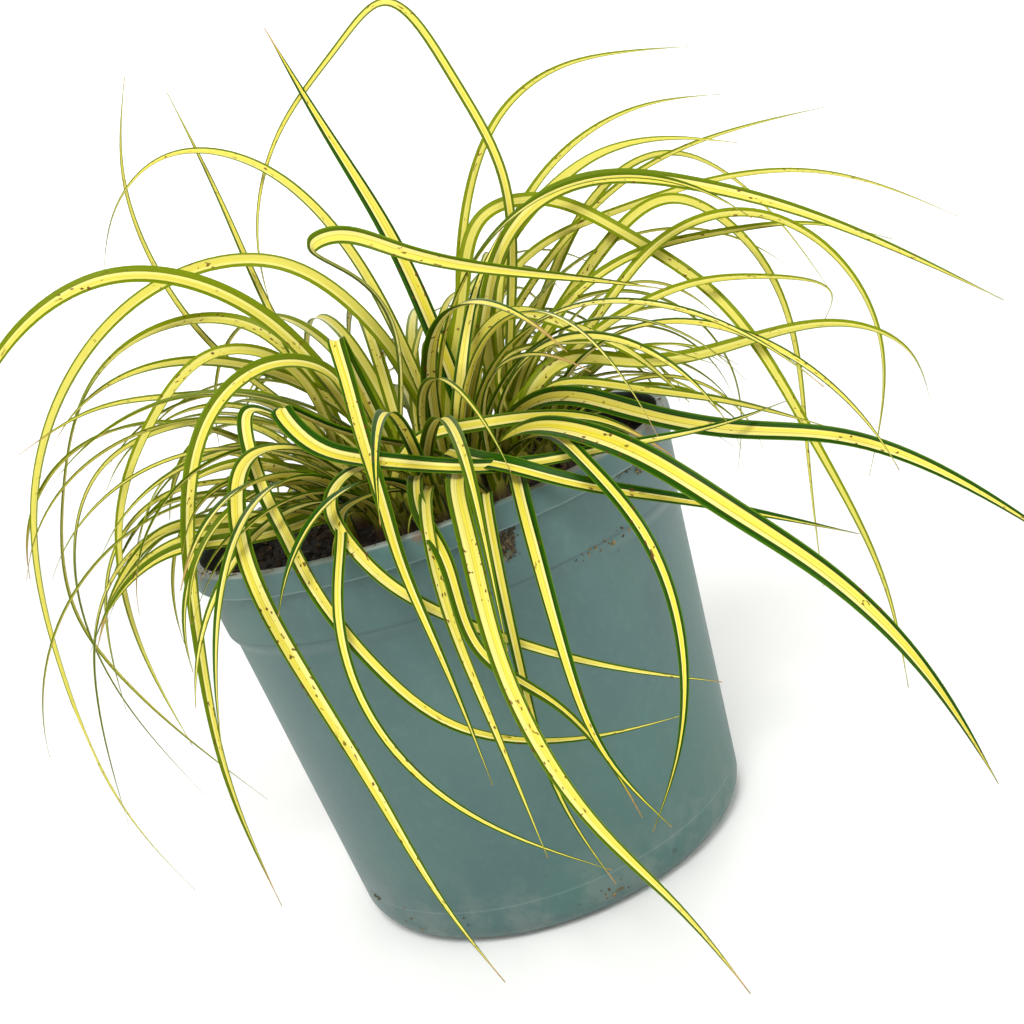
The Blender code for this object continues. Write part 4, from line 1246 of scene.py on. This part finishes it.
def makeCrumbs():
    # Crumbs lie on the bed, on the top of the lip, and in the spots that stick to the wall.
    look = soilShape
    draw = np.random.default_rng(look["seed"])
    radius = look["crumbReach"] * np.sqrt(draw.uniform(0, 1, look["crumbs"]))
    angle = draw.uniform(0, 2 * math.pi, look["crumbs"])
    low, high = look["crumbSizes"]
    sizes = low + (high - low) * draw.uniform(0, 1, look["crumbs"]) ** 3
    bed = np.column_stack([radius * np.cos(angle), radius * np.sin(angle), bedHeight(radius) - 0.4])
    bed[:, 2] += draw.uniform(-0.2, 0.5, len(bed)) * sizes
    points, faces = crumbPoints(bed, sizes, (0.45, 1.3), draw)
    crumbs = meshFrom("soilCrumbs", points, faces, crumbFinish("barkCrumb", look["wet"], look["bright"]))
    pot = potShape
    footRound = pot["baseRound"]
    heights = (footRound, pot["bodyTopHeight"], pot["shoulderHeight"], tuft["potHeight"] - pot["lipDepth"])
    radii = (pot["baseRadius"], pot["bodyTopRadius"], pot["shoulderRadius"], pot["bandRadius"])
    middles, small = [], []
    for height, bearing, along, up, count in stuckSoil:
        turn = math.radians(bearing) + draw.normal(0, along, count) / 68
        z = np.clip(height + draw.normal(0, up, count), 2, 108.2)
        wall = np.interp(z, heights, radii)
        rounding = footRound - np.sqrt(np.maximum(footRound**2 - (footRound - z) ** 2, 0))
        wall -= np.where(z < footRound, rounding, 0)
        middles.append(np.column_stack([wall * np.cos(turn), wall * np.sin(turn), z]))
        small.append(draw.uniform(0.15, 0.45, count))
    count = look["rimCrumbs"]
    allRound = draw.uniform(0, 2 * math.pi, count // 2)
    turn = np.concatenate([allRound, np.radians(draw.normal(-148, 9, count // 2))])
    radius = draw.uniform(*look["rimCrumbRadii"], count)
    height = np.full(count, look["rimCrumbHeight"])
    middles.append(np.column_stack([radius * np.cos(turn), radius * np.sin(turn), height]))
    small.append(draw.uniform(0.1, 0.4, count))
    points, faces = crumbPoints(np.concatenate(middles), np.concatenate(small), (0.25, 2.0), draw)
    stuck = meshFrom("stuckSoil", points, faces, crumbFinish("driedSoil", look["dry"], look["fibre"]))
    for piece in (crumbs, stuck):
        piece.data.shade_flat()
        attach(piece, "root")


makeSoil()
makeCrumbs()
print("soil filled in")

# Floor, lights and camera

studio = {
    "floorRadius": 1.8,
    "floorBend": 0.6,
    "floorSides": 96,
    "wallHeight": 1.4,
    "wallGlow": 0.42,
    "floorColour": screenColour(240, 240, 238),
    "world": 0.2,
    "key": {"place": (-0.08, -0.88, 1.15), "size": 0.55, "power": 17.0},
    "fill": {"place": (0.9, -0.8, 0.6), "size": 1.0, "power": 3.0},
    "back": {"place": (0.2, 1.0, 1.0), "size": 0.9, "power": 6.0},
    "aim": (0.0, 0.0, 0.12),
    "lens": 44.88,
    "cameraPlace": (0.01896, -0.35423, 0.17687),
    "cameraAim": (0.01896, 0.0, 0.09665),
    "roll": -19.08,
}


def makeFloor():
    # A flat disc whose rim turns up in a quarter circle, so that no edge shows from any side.
    look = studio
    bend = look["floorBend"]
    flatRadius = look["floorRadius"] - bend
    curve = [(0.0005, 0), (0.2, 0), (0.6, 0), (flatRadius, 0)]
    curve += roundCorner((flatRadius, bend), bend, -90, 0, 12)[1:]
    curve.append((look["floorRadius"], look["wallHeight"]))
    grid = turnedPoints(np.array(curve) / mm, look["floorSides"])
    paint = Paint("studioFloor")
    _, x, y, _ = paint.objectPlace()
    paint.material.cycles.emission_sampling = "NONE"
    paint.colour = look["floorColour"]
    paint.shader.inputs["Emission Color"].default_value = (1, 1, 1, 1)
    glow = paint.times(paint.rise(paint.axisSquared(x, y), 0.5, 2.6), look["wallGlow"])
    paint.feed(paint.shader.inputs["Emission Strength"], glow)
    faces = gridFaces(*grid.shape[:2]).tolist() + [list(range(look["floorSides"]))[::-1]]
    floor = meshFrom("studioFloor", grid.reshape(-1, 3), faces, paint.finish(0.8))


def turnTo(place, aim, roll=0.0):
    # The matrix that looks from place to aim: its columns are right, up and back, with right
    # and up turned by the roll.
    back = np.array(place) - np.array(aim)
    back = back / np.linalg.norm(back)
    right = np.cross((0, 0, 1), back)
    right = right / np.linalg.norm(right)
    up = np.cross(back, right)
    turn = math.radians(roll)
    matrix = np.eye(4)
    matrix[:3, 0] = right * math.cos(turn) + up * math.sin(turn)
    matrix[:3, 1] = up * math.cos(turn) - right * math.sin(turn)
    matrix[:3, 2] = back
    matrix[:3, 3] = place
    return Matrix(matrix.tolist())


def makeStudio():
    bpy.context.scene.view_settings.view_transform = "Standard"
    for label in ("key", "fill", "back"):
        lamp = studio[label]
        light = bpy.data.lights.new(label, "AREA")
        light.shape = "DISK"
        light.size = lamp["size"]
        light.energy = lamp["power"]
        holder = bpy.data.objects.new(label, light)
        holder.matrix_world = turnTo(lamp["place"], studio["aim"])
        bpy.context.scene.collection.objects.link(holder)
    world = bpy.data.worlds.new("studio")
    world.use_nodes = True
    world.node_tree.nodes["Background"].inputs["Color"].default_value = (1, 1, 1, 1)
    world.node_tree.nodes["Background"].inputs["Strength"].default_value = studio["world"]
    bpy.context.scene.world = world
    camera = bpy.data.cameras.new("photographView")
    camera.lens = studio["lens"]
    camera.sensor_width = 36
    camera.clip_start = 0.01
    holder = bpy.data.objects.new("photographView", camera)
    holder.matrix_world = turnTo(studio["cameraPlace"], studio["cameraAim"], studio["roll"])
    bpy.context.scene.collection.objects.link(holder)
    bpy.context.scene.camera = holder


makeFloor()
makeStudio()
print("studio ready")

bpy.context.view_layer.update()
